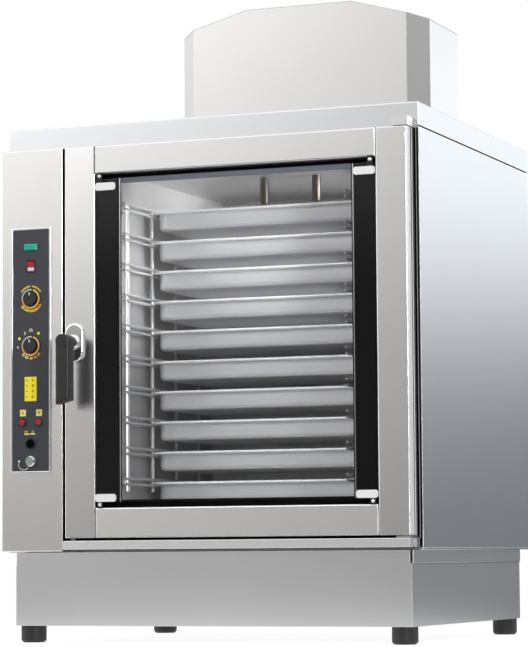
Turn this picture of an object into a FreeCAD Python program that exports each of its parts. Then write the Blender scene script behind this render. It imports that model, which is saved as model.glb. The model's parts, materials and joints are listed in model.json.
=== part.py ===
import FreeCAD, Part
import math
import os
import re

import Sketcher

# Sizes in millimetres. The trays set the cavity, the cavity sets the door, and the door sets the casing.
SIZES = {
    # trays
    "tray_count": 10.0,
    "tray_width": 530.0,
    "tray_depth": 325.0,
    "tray_height": 40.0,
    "tray_gauge": 1.2,
    "tray_lip": 13.0,
    "tray_corner": 30.0,
    "tray_bottom_round": 10.0,
    "tray_pitch": 68.2,
    "tray_reach": 148.0,
    "tray_rise": 69.0,
    "tray_play": 0.3,
    # tray racks
    "rack_play": 0.5,
    "post_radius": 4.0,
    "post_count": 4.0,
    "post_reach": 48.0,
    "post_pitch": 132.0,
    "post_foot": 19.0,
    "post_clear": 65.0,
    "wire_radius": 3.0,
    "wire_gap": 13.0,
    "wire_lead": 36.0,
    "wire_overhang": 8.0,
    "peg_inset": 20.0,
    # cavity, front frame and gasket
    "side_room": 22.0,
    "head_room": 79.2,
    "liner_gauge": 2.0,
    "liner_flange": 14.0,
    "frame_gauge": 3.0,
    "gasket_margin": 8.0,
    "gasket_width": 16.0,
    "gasket_play": 0.3,
    # fan, motor and baffle
    "fan_radius": 150.0,
    "fan_depth": 70.0,
    "fan_plate": 3.0,
    "fan_clear": 28.0,
    "fan_gap": 35.0,
    "fan_blade": 45.0,
    "fan_blades": 12.0,
    "hub_radius": 26.0,
    "shaft_radius": 8.0,
    "shaft_play": 0.5,
    "motor_radius": 70.0,
    "motor_length": 130.0,
    "motor_flange": 92.0,
    "motor_flange_gauge": 6.0,
    "motor_bore_depth": 60.0,
    "motor_room": 39.0,
    "baffle_gap": 32.0,
    "baffle_gauge": 2.0,
    "baffle_margin": 26.0,
    "inlet_slots": 20.0,
    "inlet_inner": 50.0,
    "inlet_outer": 125.0,
    "inlet_slot": 11.0,
    "row_rise": 207.0,
    "row_slots": 9.0,
    "row_pitch": 22.0,
    "row_slot_width": 8.0,
    "row_slot_height": 30.0,
    "standoff_radius": 7.0,
    "standoff_inset": 30.0,
    # ceiling tubes
    "tube_radius": 10.0,
    "tube_bore": 8.0,
    "tube_reach": 250.0,
    "tube_near": 20.0,
    "tube_far": 107.0,
    "tube_length": 59.0,
    # door
    "door_room_left": 92.0,
    "door_room_right": 138.0,
    "door_room_bottom": 54.0,
    "door_room_top": 51.0,
    "door_lead": 50.0,
    "door_gap": 6.0,
    "door_wall": 2.0,
    "stile_width": 70.0,
    "latch_stile": 74.0,
    "top_rail": 62.0,
    "bottom_rail": 66.0,
    "drain_radius": 3.0,
    "glass_gauge": 6.0,
    "glass_recess": 3.0,
    "slot_top": 12.0,
    "slot_bottom": 13.0,
    "clip_width": 49.0,
    "clip_height": 17.0,
    "clip_gauge": 4.0,
    "clip_round": 6.0,
    "clip_drop": 9.0,
    "clip_edge": 1.0,
    "lug_width": 12.0,
    "lug_inset": 6.0,
    # door hinge
    "hinge_inset": 15.0,
    "hinge_width": 36.0,
    "hinge_height": 20.0,
    "hinge_play": 0.8,
    "hinge_pin": 6.0,
    "hinge_reach": 20.0,
    "lower_hinge_height": 14.0,
    "pin_play": 0.05,
    # handle and latch
    "handle_inset": 26.0,
    "handle_drop": 2.5,
    "handle_reach": 121.0,
    "lever_width": 32.0,
    "lever_gauge": 28.0,
    "lever_length": 139.0,
    "lever_slant": 9.0,
    "lever_round": 5.0,
    "neck_radius": 12.0,
    "disc_radius": 14.5,
    "disc_gauge": 2.0,
    "escutcheon_width": 44.0,
    "escutcheon_height": 86.0,
    "escutcheon_gauge": 9.0,
    "escutcheon_round": 4.0,
    "latch_radius": 8.0,
    "latch_depth": 16.0,
    "cam_length": 16.0,
    "cam_width": 12.0,
    "cam_gauge": 8.0,
    "keeper_width": 44.0,
    "keeper_height": 72.0,
    "keeper_hole": 19.0,
    "keeper_play": 1.0,
    # casing
    "casing_gauge": 2.0,
    "fold_round": 3.0,
    "cap_skirt": 51.0,
    "cap_clear": 7.0,
    "cap_reveal": 3.0,
    "door_inset": 12.0,
    "door_play": 5.0,
    # base and feet
    "foot_height": 37.0,
    "foot_radius": 28.0,
    "foot_bevel": 5.0,
    "foot_inset": 30.0,
    "base_inset_left": 40.0,
    "base_inset_right": 9.0,
    "base_lead": 46.0,
    "base_setback": 76.0,
    "base_height": 161.0,
    "base_flange": 28.0,
    "base_step": 2.0,
    "base_notch": 6.0,
    "floor_plate": 5.0,
    # hood on the cap
    "hood_width": 630.0,
    "hood_depth": 300.0,
    "hood_offset": 18.0,
    "hood_corner": 43.0,
    "hood_eave": 291.0,
    "hood_rise": 50.0,
    "hood_flat": 266.0,
    # drip tray under the door
    "drip_inset": 1.0,
    "drip_over": 2.0,
    "drip_lead": 61.0,
    "drip_lift": 6.0,
    "drip_height": 19.0,
    "drip_back": 8.0,
    "drip_clear": 6.0,
    # control strip and fascia
    "strip_inset": 8.0,
    "strip_width": 151.0,
    "strip_lead": 51.0,
    "strip_lift": 2.0,
    "strip_over": 1.0,
    "fascia_shift": 74.3,
    "fascia_width": 90.0,
    "fascia_drop": 181.0,
    "fascia_gauge": 2.0,
    "trim_width": 5.0,
    "trim_proud": 1.6,
    "trim_round": 1.5,
    # lamp and switches, each placed from the one above it
    "lamp_drop": 38.5,
    "lamp_width": 32.0,
    "lamp_tall": 15.0,
    "lamp_proud": 5.0,
    "lamp_round": 3.0,
    "rocker_pitch": 42.5,
    "rocker_width": 16.0,
    "rocker_radius": 11.0,
    "rocker_pivot": 3.0,
    "rocker_proud": 4.5,
    "rocker_waist": 1.5,
    "rocker_low": 0.5,
    "rocker_back": 7.0,
    "rocker_play": 0.3,
    "rocker_pin": 1.5,
    "bezel_wall": 1.0,
    "bezel_lip": 2.0,
    "bezel_proud": 1.5,
    "bezel_depth": 12.0,
    "upper_knob_pitch": 73.0,
    "lower_knob_pitch": 105.5,
    "knob_radius": 23.4,
    "knob_skirt": 2.6,
    "knob_step": 7.4,
    "knob_height": 9.0,
    "knob_edge": 1.2,
    "knob_flute": 2.4,
    "knob_flutes": 16.0,
    "knob_play": 0.4,
    "spindle_radius": 3.0,
    "spindle_length": 14.0,
    "red_button_pitch": 170.5,
    "red_button_offset": 20.0,
    "red_button_radius": 6.5,
    "black_button_pitch": 47.0,
    "black_button_radius": 9.5,
    "button_face": 5.2,
    "button_lift": 3.4,
    "button_crown": 1.2,
    "button_play": 0.1,
    "button_rim": 2.8,
    "button_rim_proud": 3.6,
    "plunger_radius": 4.0,
    "plunger_length": 14.0,
    "probe_pitch": 39.0,
    "probe_margin": 22.0,
    "probe_radius": 11.8,
    "probe_proud": 7.5,
    "probe_edge": 2.0,
    "probe_groove": 1.2,
    "probe_grooves": 20.0,
}

# Places worked out from the sizes above. Heights are above the floor, and a left place counts to the left.
PLACES = {
    # from front to back
    "baffle_reach": "tray_reach + tray_depth + baffle_gap",
    "cavity_rear": "baffle_reach + baffle_gauge + fan_gap + fan_depth + fan_clear",
    "cap_depth": "cavity_rear + liner_gauge + motor_length + motor_room",
    "front": "(handle_reach - cap_depth) / 2",
    "rear": "front + cap_depth",
    "base_rear": "cap_depth - base_setback",
    "frame_front": "front + casing_gauge",
    "frame_back": "frame_front + frame_gauge",
    "cavity_back": "front + cavity_rear",
    "tray_front": "front + tray_reach",
    "door_front": "front - door_lead",
    "door_back": "front - door_gap",
    "glass_face": "door_front + glass_recess",
    "hinge_y": "(door_front + door_back) / 2",
    "lever_front": "front - handle_reach + disc_gauge",
    "lever_back": "lever_front + lever_gauge",
    "escutcheon_front": "door_front - escutcheon_gauge",
    "strip_front": "front - strip_lead",
    "fascia_front": "strip_front - fascia_gauge",
    # from side to side
    "cavity_width": "tray_width + 2 * side_room",
    "door_width": "door_room_left + cavity_width + door_room_right",
    "half_width": "(strip_inset + strip_width + door_play + door_width + door_inset) / 2",
    "strip_left": "half_width - strip_inset",
    "strip_right": "strip_left - strip_width",
    "fascia_left": "strip_left - fascia_shift",
    "door_left": "strip_right - door_play",
    "door_right": "half_width - door_inset",
    "cavity_left": "door_left - door_room_left",
    "cavity_right": "door_right - door_room_right",
    "cavity_centre": "(cavity_right - cavity_left) / 2",
    "tray_left": "cavity_centre - tray_width / 2",
    "tray_right": "cavity_centre + tray_width / 2",
    "post_offset": "tray_width / 2 + rack_play + post_radius",
    "wire_offset": "post_offset - post_radius - wire_radius",
    "glass_left": "latch_stile - door_left",
    "glass_right": "door_right - stile_width",
    "hinge_x": "door_right - hinge_inset",
    "handle_left": "door_left - handle_inset",
    "drip_left": "door_left - drip_inset",
    "drip_right": "door_right + drip_over",
    "base_left": "half_width - base_inset_left",
    "base_right": "half_width - base_inset_right",
    "hood_left": "hood_offset - hood_width / 2",
    "hood_right": "hood_offset + hood_width / 2",
    # from the floor up
    "base_top": "foot_height + base_height",
    "casing_bottom": "base_top + floor_plate",
    "drip_bottom": "base_top + drip_lift",
    "door_bottom": "drip_bottom + drip_height + drip_clear",
    "cavity_floor": "door_bottom + door_room_bottom",
    "tray_first": "cavity_floor + tray_rise",
    "cavity_ceiling": "tray_first + (tray_count - 1) * tray_pitch + head_room",
    "door_top": "cavity_ceiling + door_room_top",
    "cap_bottom": "door_top + cap_clear",
    "cap_top": "cap_bottom + cap_skirt",
    "fan_height": "(cavity_floor + cavity_ceiling) / 2",
    "post_bottom": "tray_first - post_foot",
    "post_top": "cavity_ceiling - post_clear",
    "tube_end": "cavity_ceiling - tube_length",
    "rail_low": "door_bottom + bottom_rail",
    "rail_high": "door_top - top_rail",
    "glass_low": "rail_low + slot_bottom",
    "glass_high": "rail_high - slot_top",
    "handle_height": "(door_bottom + door_top) / 2 - handle_drop",
    "strip_bottom": "base_top + strip_lift",
    "strip_top": "door_top + strip_over",
    "fascia_top": "strip_top - fascia_drop",
    "lamp_height": "fascia_top - lamp_drop",
    "rocker_height": "lamp_height - rocker_pitch",
    "upper_knob_height": "rocker_height - upper_knob_pitch",
    "lower_knob_height": "upper_knob_height - lower_knob_pitch",
    "red_button_height": "lower_knob_height - red_button_pitch",
    "black_button_height": "red_button_height - black_button_pitch",
    "probe_height": "black_button_height - probe_pitch",
    "fascia_bottom": "probe_height - probe_margin",
    # on the controls
    "rocker_room": "rocker_radius + rocker_play",
    "knob_grip": "knob_radius - knob_step",
}

AXES = ("x", "y", "z")
FRONTWARD = FreeCAD.Rotation(FreeCAD.Vector(1, 0, 0), 90)
LONG_WAYS = {
    "x": FreeCAD.Rotation(FreeCAD.Vector(0, 1, 0), 90),
    "y": FreeCAD.Rotation(FreeCAD.Vector(1, 0, 0), -90),
    "z": FreeCAD.Rotation(),
}

doc = FreeCAD.newDocument("combi_oven")
sheet = doc.addObject("Spreadsheet::Sheet", "dims")
nodes = {}


def fill_sheet():
    """Write every driving size into the sheet under its own name."""
    for row, (alias, size) in enumerate(SIZES.items(), start=1):
        sheet.set(f"A{row}", alias)
        sheet.set(f"B{row}", str(size))
        sheet.setAlias(f"B{row}", alias)
    doc.recompute()


def bind(formula):
    """Spell a formula of sizes and places out in cells of the sheet."""
    def swap(match):
        word = match.group(0)
        if word in PLACES:
            return f"({bind(PLACES[word])})"
        if word in SIZES:
            return f"dims.{word}"
        return word
    return re.sub(r"[a-z][a-z_]*", swap, formula)


def size(alias):
    """Value of one cell of the sheet."""
    return float(sheet.get(alias))


def count(alias):
    """Whole number held by one cell of the sheet."""
    return int(round(size(alias)))


def node(name, item):
    """Name a finished piece as a sub-part."""
    item.Label = name
    nodes[name] = item
    return item


def place(item, x, y, z):
    """Bind an object's position."""
    for axis, formula in zip(AXES, (x, y, z)):
        item.setExpression(f"Placement.Base.{axis}", bind(formula))
    return item


def block(name, x, y, z):
    """Box between a low and a high place on each axis."""
    item = doc.addObject("Part::Box", name)
    for side, (low, high) in zip(("Length", "Width", "Height"), (x, y, z)):
        item.setExpression(side, bind(f"({high}) - ({low})"))
    return place(item, x[0], y[0], z[0])


def rod(name, axis, radius, low, high, centre):
    """Round bar along one axis between two places, with its centre given on the other two axes."""
    item = doc.addObject("Part::Cylinder", name)
    item.Placement = FreeCAD.Placement(FreeCAD.Vector(), LONG_WAYS[axis])
    item.setExpression("Radius", bind(radius))
    item.setExpression("Height", bind(f"({high}) - ({low})"))
    base = list(centre)
    base.insert(AXES.index(axis), low)
    return place(item, *base)


def fuse(name, *pieces):
    """One solid of several pieces."""
    item = doc.addObject("Part::MultiFuse", name)
    item.Shapes = list(pieces)
    return item


def cut(name, base, *tools):
    """A piece with one or more pieces taken out of it."""
    item = doc.addObject("Part::Cut", name)
    item.Base = base
    item.Tool = tools[0] if len(tools) == 1 else fuse(f"{name}_tools", *tools)
    return item


def common(name, *pieces):
    """What several pieces share."""
    item = doc.addObject("Part::MultiCommon", name)
    item.Shapes = list(pieces)
    return item


def group(name, *pieces):
    """Separate like pieces kept in one sub-part."""
    item = doc.addObject("Part::Compound", name)
    item.Links = list(pieces)
    return item


def edges_along(shape, axis):
    """Numbers of the straight edges that run along an axis."""
    found = []
    for number, edge in enumerate(shape.Edges, start=1):
        first, last = edge.Vertexes[0].Point, edge.Vertexes[-1].Point
        run = (last - first)
        if run.Length > 0 and abs(run.normalize().dot(axis)) > 0.999:
            found.append(number)
    return found


def edges_at_height(shape, height):
    """Numbers of the edges that lie wholly at one height."""
    found = []
    for number, edge in enumerate(shape.Edges, start=1):
        box = edge.BoundBox
        if abs(box.ZMin - height) < 1e-4 and abs(box.ZMax - height) < 1e-4:
            found.append(number)
    return found


def edges_at_front(shape):
    """Numbers of the edges that lie wholly on the foremost face."""
    face = shape.BoundBox.YMin
    found = []
    for number, edge in enumerate(shape.Edges, start=1):
        box = edge.BoundBox
        if abs(box.YMin - face) < 1e-4 and abs(box.YMax - face) < 1e-4:
            found.append(number)
    return found


def edges_of_cap(shape):
    """Numbers of the upper edges and the uprights, apart from those at the rear."""
    rear = shape.BoundBox.YMax
    upper = edges_at_height(shape, shape.BoundBox.ZMax)
    uprights = edges_along(shape, FreeCAD.Vector(0, 0, 1))
    return [number for number in upper + uprights if rear - shape.Edges[number - 1].BoundBox.YMin > 1e-3]


def rounded(name, base, *choices):
    """A piece with some edges rounded, each choice being edge numbers and a radius."""
    item = doc.addObject("Part::Fillet", name)
    item.Base = base
    item.Edges = [(number, radius, radius) for numbers, radius in choices for number in numbers]
    return item


def folded(item, choose):
    """A block of sheet with the folds that a function picks rounded."""
    doc.recompute()
    return rounded(f"{item.Name}_folds", item, (choose(item.Shape), size("fold_round")))


def new_body(name, turn=None):
    """Empty body, turned so that its own Z points out of the front where asked."""
    body = doc.addObject("PartDesign::Body", name)
    if turn is not None:
        body.Placement = FreeCAD.Placement(FreeCAD.Vector(), turn)
    return body


def sketch_on(body, name, role, lift=None):
    """Sketch on one of the body's own planes, lifted along the plane's normal where asked."""
    sketch = body.newObject("Sketcher::SketchObject", name)
    plane = [item for item in body.Origin.OriginFeatures if item.Role == role][0]
    sketch.AttachmentSupport = [(plane, "")]
    sketch.MapMode = "FlatFace"
    if lift is not None:
        sketch.setExpression("AttachmentOffset.Base.z", bind(lift))
    return sketch


def outline(sketch, corners):
    """Closed outline through corners whose two coordinates are formulas."""
    first = sketch.GeometryCount
    total = len(corners)
    turn = 2 * math.pi / total
    start = [FreeCAD.Vector(math.cos(turn * step), math.sin(turn * step), 0) for step in range(total)]
    lines = [Part.LineSegment(start[step], start[(step + 1) % total]) for step in range(total)]
    sketch.addGeometry(lines, False)
    rules = []
    formulas = []
    for step in range(total):
        here, after = first + step, first + (step + 1) % total
        for kind, formula, guess in zip(("DistanceX", "DistanceY"), corners[step], start[step]):
            rules.append(Sketcher.Constraint(kind, -1, 1, here, 1, guess))
            formulas.append(formula)
        rules.append(Sketcher.Constraint("Coincident", here, 2, after, 1))
        formulas.append(None)
    for number, formula in zip(sketch.addConstraint(rules), formulas):
        if formula is not None:
            sketch.setExpression(f"Constraints[{number}]", bind(formula))


def circle(sketch, across, up, radius):
    """Circle with its centre and radius given as formulas."""
    index = sketch.addGeometry(Part.Circle(FreeCAD.Vector(1, 1, 0), FreeCAD.Vector(0, 0, 1), 1), False)
    rules = (
        (Sketcher.Constraint("DistanceX", -1, 1, index, 3, 1.0), across),
        (Sketcher.Constraint("DistanceY", -1, 1, index, 3, 1.0), up),
        (Sketcher.Constraint("Radius", index, 1.0), radius),
    )
    for rule, formula in rules:
        number = sketch.addConstraint(rule)
        sketch.setExpression(f"Constraints[{number}]", bind(formula))


def oblong(low_x, high_x, low_y, high_y):
    """Corners of a rectangle."""
    return [(low_x, low_y), (high_x, low_y), (high_x, high_y), (low_x, high_y)]


def pad(body, name, sketch, length, backward=False):
    """Raise a sketch into a solid along its normal, or against it."""
    feature = body.newObject("PartDesign::Pad", name)
    feature.Profile = sketch
    feature.Reversed = backward
    feature.setExpression("Length", bind(length))
    return feature


def revolve(body, name, sketch):
    """Turn a sketch about its own upright axis."""
    feature = body.newObject("PartDesign::Revolution", name)
    feature.Profile = sketch
    feature.ReferenceAxis = (sketch, ["V_Axis"])
    feature.Angle = 360.0
    return feature


def pocket_away(body, name, sketch, length, reverse):
    """Cut a sketch out of the body, and make sure that it took something away."""
    doc.recompute()
    before = body.Shape.Volume
    feature = body.newObject("PartDesign::Pocket", name)
    feature.Profile = sketch
    feature.Reversed = reverse
    feature.setExpression("Length", bind(length))
    doc.recompute()
    if not body.Shape.Volume < before:
        raise RuntimeError(f"{name} cuts nothing")
    return feature


def polar(body, name, feature, sketch, copies):
    """Repeat a feature round the sketch's normal."""
    pattern = body.newObject("PartDesign::PolarPattern", name)
    pattern.Originals = [feature]
    pattern.Axis = (sketch, ["N_Axis"])
    pattern.Angle = 360.0
    pattern.Occurrences = copies
    body.Tip = pattern
    return pattern


def soften_rim(body, name, height, radius):
    """Round the edges of a body that lie at one height of its own."""
    doc.recompute()
    under = body.Tip
    rim = edges_at_height(under.Shape, size(height))
    feature = body.newObject("PartDesign::Fillet", name)
    feature.Base = (under, [f"Edge{number}" for number in rim])
    feature.setExpression("Radius", bind(radius))


def turned(name, profile, turn=None):
    """Turned piece: a profile of radius and height revolved about the body's Z."""
    body = new_body(name, turn)
    sketch = sketch_on(body, f"{name}_profile", "XZ_Plane")
    outline(sketch, profile)
    revolve(body, f"{name}_turned", sketch)
    return body


def prism(name, role, corners, length):
    """Body raised from one outline."""
    body = new_body(name)
    sketch = sketch_on(body, f"{name}_outline", role)
    outline(sketch, corners)
    pad(body, f"{name}_raised", sketch, length)
    return body


def tub(name, x, y, z, wall, open_side, choose=None):
    """Folded sheet box with one side left open, top, bottom or back, and any picked folds rounded."""
    shell = block(f"{name}_shell", x, y, z)
    if choose is not None:
        shell = folded(shell, choose)
    inner_y = (f"({y[0]}) + {wall}", f"({y[1]}) + {wall}" if open_side == "back" else f"({y[1]}) - {wall}")
    low_z = f"({z[0]}) - {wall}" if open_side == "bottom" else f"({z[0]}) + {wall}"
    high_z = f"({z[1]}) + {wall}" if open_side == "top" else f"({z[1]}) - {wall}"
    hollow = block(f"{name}_hollow", (f"({x[0]}) + {wall}", f"({x[1]}) - {wall}"), inner_y, (low_z, high_z))
    return cut(f"{name}_tub", shell, hollow)


# Base, feet and casing


def make_base():
    """Sheet-metal plinth with a lapped rim along its sides and a relief at each front corner."""
    y = ("front - base_lead", "front + base_rear")
    shell = block("base_shell", ("-base_left", "base_right"), y, ("foot_height", "base_top"))
    wall = "casing_gauge + base_step"
    hollow = block(
        "base_hollow",
        (f"{wall} - base_left", f"base_right - ({wall})"),
        ("front - base_lead + casing_gauge", "front + base_rear - casing_gauge"),
        ("foot_height + casing_gauge", "base_top + casing_gauge"),
    )
    under_rim = ("foot_height - casing_gauge", "base_top - base_flange")
    rim = ("base_top - base_flange", "base_top + casing_gauge")
    notch_y = ("front - base_lead - casing_gauge", "front - base_lead + base_notch")
    past_y = ("front - base_lead - casing_gauge", "front + base_rear + casing_gauge")
    past_left, past_right = "-base_left - casing_gauge", "base_right + casing_gauge"
    steps = (
        block("base_step_left", (past_left, "base_step - base_left"), past_y, under_rim),
        block("base_step_right", ("base_right - base_step", past_right), past_y, under_rim),
        block("base_notch_left", (past_left, "base_notch - base_left"), notch_y, rim),
        block("base_notch_right", ("base_right - base_notch", past_right), notch_y, rim),
    )
    node("base_plinth", cut("base", shell, hollow, *steps))


def make_feet():
    """Four plain round feet with a bevelled lower rim."""
    profile = [
        ("0", "0"),
        ("foot_radius - foot_bevel", "0"),
        ("foot_radius", "foot_bevel"),
        ("foot_radius", "foot_height"),
        ("0", "foot_height"),
    ]
    across = {"left": "foot_inset - base_left", "right": "base_right - foot_inset"}
    along = {
        "front": "front - base_lead + foot_radius + foot_bevel",
        "rear": "front + base_rear - foot_radius - foot_bevel",
    }
    for end, y in along.items():
        for side, x in across.items():
            name = f"foot_{end}_{side}"
            node(name, place(turned(f"{name}_body", profile), x, y, "0"))


def make_casing():
    """Floor plate, side and rear panels and the cap that lies over them."""
    inner_x = ("casing_gauge - half_width", "half_width - casing_gauge")
    node("cabinet_floor", block(
        "floor_sheet",
        ("-half_width", "half_width"),
        ("frame_front", "rear - casing_gauge"),
        ("base_top", "casing_bottom"),
    ))
    panel_z = ("casing_bottom", "cap_bottom - cap_reveal")
    sides = {
        "left": ("-half_width", "casing_gauge - half_width"),
        "right": ("half_width - casing_gauge", "half_width"),
    }
    for side, x in sides.items():
        node(f"side_panel_{side}", block(f"panel_{side}", x, ("front", "rear"), panel_z))
    node("rear_panel", block(
        "rear_sheet",
        inner_x,
        ("rear - 2 * casing_gauge", "rear - casing_gauge"),
        ("casing_bottom", "cap_top - casing_gauge"),
    ))
    cap = tub("cap", ("-half_width", "half_width"), ("front", "rear"), ("cap_bottom", "cap_top"),
              "casing_gauge", "bottom", edges_of_cap)
    node("top_cap", cap)


def octagon(inset):
    """Plan of the hood with its corners taken off, drawn inside its outer face by an inset."""
    short = f"hood_corner + ({inset}) * (2 - sqrt(2))"
    left, right = f"hood_left + {inset}", f"hood_right - {inset}"
    near, far = f"rear - hood_depth + {inset}", f"rear - {inset}"
    slope = f"({short}) - ({inset})"
    return [
        (f"{left} + {slope}", near),
        (f"{right} - ({slope})", near),
        (right, f"{near} + {slope}"),
        (right, f"{far} - ({slope})"),
        (f"{right} - ({slope})", far),
        (f"{left} + {slope}", far),
        (left, f"{far} - ({slope})"),
        (left, f"{near} + {slope}"),
    ]


def hood_section(drop):
    """Cross-section of the hood under its sloping shoulders, lowered by a drop."""
    eave = f"hood_eave - {drop}"
    ridge = f"hood_eave + hood_rise - {drop}"
    return [
        ("-hood_width / 2", "0"),
        ("hood_width / 2", "0"),
        ("hood_width / 2", eave),
        ("hood_flat / 2", ridge),
        ("-hood_flat / 2", ridge),
        ("-hood_width / 2", eave),
    ]


def make_hood():
    """Eight-sided hood on the cap, with a roof that slopes down at both sides."""
    tall = "hood_eave + 2 * hood_rise"
    outer = place(prism("hood_outer", "XY_Plane", octagon("0"), tall), "0", "0", "cap_top")
    inner = place(prism("hood_inner", "XY_Plane", octagon("casing_gauge"), tall), "0", "0", "cap_top")
    full = prism("hood_full", "XZ_Plane", hood_section("0"), "hood_depth")
    lower = prism("hood_lower", "XZ_Plane", hood_section("casing_gauge"), "hood_depth")
    for section in (full, lower):
        place(section, "hood_offset", "rear", "cap_top")
    node("hood_shell", cut("hood_walls", common("hood_solid", outer, lower), inner))
    node("hood_roof", common("hood_cover", outer, cut("hood_sheet", full, lower)))


# Front frame, cavity and what is in it


def make_front():
    """Front frame round the cavity's mouth, the liner behind it and the gasket before it."""
    mouth_x = ("-cavity_left", "cavity_right")
    mouth_z = ("cavity_floor", "cavity_ceiling")
    full_x = ("casing_gauge - half_width", "half_width - casing_gauge")
    frame_y = ("frame_front", "frame_back")
    latch_way = rod("latch_way", "y", "keeper_hole", "front", "frame_back + frame_gauge",
                    ("-handle_left", "handle_height"))
    frame_side = block("frame_left_sheet", (full_x[0], mouth_x[0]), frame_y, mouth_z)
    node("front_frame", group(
        "frame",
        block("frame_low", full_x, frame_y, ("casing_bottom", mouth_z[0])),
        block("frame_high", full_x, frame_y, (mouth_z[1], "cap_top - casing_gauge")),
        cut("frame_left", frame_side, latch_way),
        block("frame_right", (mouth_x[1], full_x[1]), frame_y, mouth_z),
    ))
    make_liner(mouth_x, mouth_z)

    def spread(span, margin):
        return (f"({span[0]}) - ({margin})", f"({span[1]}) + ({margin})")

    seal_y = ("door_back + gasket_play", "frame_front")
    outer = "gasket_margin + gasket_width"
    seal = block("seal_outer", spread(mouth_x, outer), seal_y, spread(mouth_z, outer))
    gap = block("seal_inner", spread(mouth_x, "gasket_margin"), ("door_back - door_gap", "frame_back"),
                spread(mouth_z, "gasket_margin"))
    node("door_gasket", cut("seal", seal, gap))


def make_liner(mouth_x, mouth_z):
    """Liner of flat sheets: floor, ceiling, sides, a back with the shaft's hole and a rim at the mouth."""
    deep = ("frame_back", "cavity_back")
    rim_y = ("frame_back", "frame_back + liner_gauge")
    wall_x = (f"{mouth_x[0]} - liner_gauge", f"{mouth_x[1]} + liner_gauge")
    wall_z = (f"{mouth_z[0]} - liner_gauge", f"{mouth_z[1]} + liner_gauge")
    rim_x = (f"{mouth_x[0]} - liner_flange", f"{mouth_x[1]} + liner_flange")
    rim_z = (f"{mouth_z[0]} - liner_flange", f"{mouth_z[1]} + liner_flange")
    back = block("liner_back_sheet", wall_x, ("cavity_back", "cavity_back + liner_gauge"), wall_z)
    shaft_way = rod("shaft_way", "y", "shaft_radius + shaft_play", "cavity_back - liner_gauge",
                    "cavity_back + 2 * liner_gauge", ("cavity_centre", "fan_height"))
    node("cavity_liner", group(
        "liner",
        block("liner_floor", wall_x, deep, (wall_z[0], mouth_z[0])),
        block("liner_ceiling", wall_x, deep, (mouth_z[1], wall_z[1])),
        block("liner_left", (wall_x[0], mouth_x[0]), deep, mouth_z),
        block("liner_right", (mouth_x[1], wall_x[1]), deep, mouth_z),
        cut("liner_back", back, shaft_way),
        block("liner_rim_low", rim_x, rim_y, (rim_z[0], wall_z[0])),
        block("liner_rim_high", rim_x, rim_y, (wall_z[1], rim_z[1])),
        block("liner_rim_left", (rim_x[0], wall_x[0]), rim_y, wall_z),
        block("liner_rim_right", (wall_x[1], rim_x[1]), rim_y, wall_z),
    ))


def make_fan():
    """Fan wheel on its shaft, the motor behind the cavity and the slotted baffle before the wheel."""
    wheel_back = "fan_clear"
    wheel_front = "fan_clear + fan_depth"
    body = new_body("fan_body", FRONTWARD)
    core = sketch_on(body, "fan_core", "XZ_Plane")
    outline(core, [
        ("0", "-liner_gauge - motor_bore_depth + shaft_play"),
        ("shaft_radius", "-liner_gauge - motor_bore_depth + shaft_play"),
        ("shaft_radius", f"{wheel_back}"),
        ("fan_radius", f"{wheel_back}"),
        ("fan_radius", f"{wheel_back} + fan_plate"),
        ("hub_radius", f"{wheel_back} + fan_plate"),
        ("hub_radius", f"{wheel_back} + fan_depth / 2"),
        ("0", f"{wheel_back} + fan_depth / 2"),
    ])
    revolve(body, "fan_disc", core)
    blade_sketch = sketch_on(body, "fan_blade_outline", "XY_Plane", wheel_back)
    half_blade = "fan_plate / 2"
    blade_x = ("fan_radius - fan_blade", "fan_radius - fan_plate")
    outline(blade_sketch, oblong(*blade_x, f"-{half_blade}", half_blade))
    blade = pad(body, "fan_blade_raised", blade_sketch, "fan_depth")
    polar(body, "fan_blade_set", blade, blade_sketch, count("fan_blades"))
    rim = sketch_on(body, "fan_rim", "XZ_Plane")
    outline(rim, oblong("fan_radius - fan_blade", "fan_radius", f"{wheel_front} - fan_plate", wheel_front))
    body.Tip = revolve(body, "fan_ring", rim)
    node("fan_impeller", place(body, "cavity_centre", "cavity_back", "fan_height"))

    motor = turned("motor_body", [
        ("shaft_radius + pin_play", "0"),
        ("motor_flange", "0"),
        ("motor_flange", "-motor_flange_gauge"),
        ("motor_radius", "-motor_flange_gauge"),
        ("motor_radius", "-motor_length"),
        ("0", "-motor_length"),
        ("0", "-motor_bore_depth"),
        ("shaft_radius + pin_play", "-motor_bore_depth"),
    ], FRONTWARD)
    node("fan_motor", place(motor, "cavity_centre", "cavity_back + liner_gauge", "fan_height"))
    make_baffle()


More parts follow.
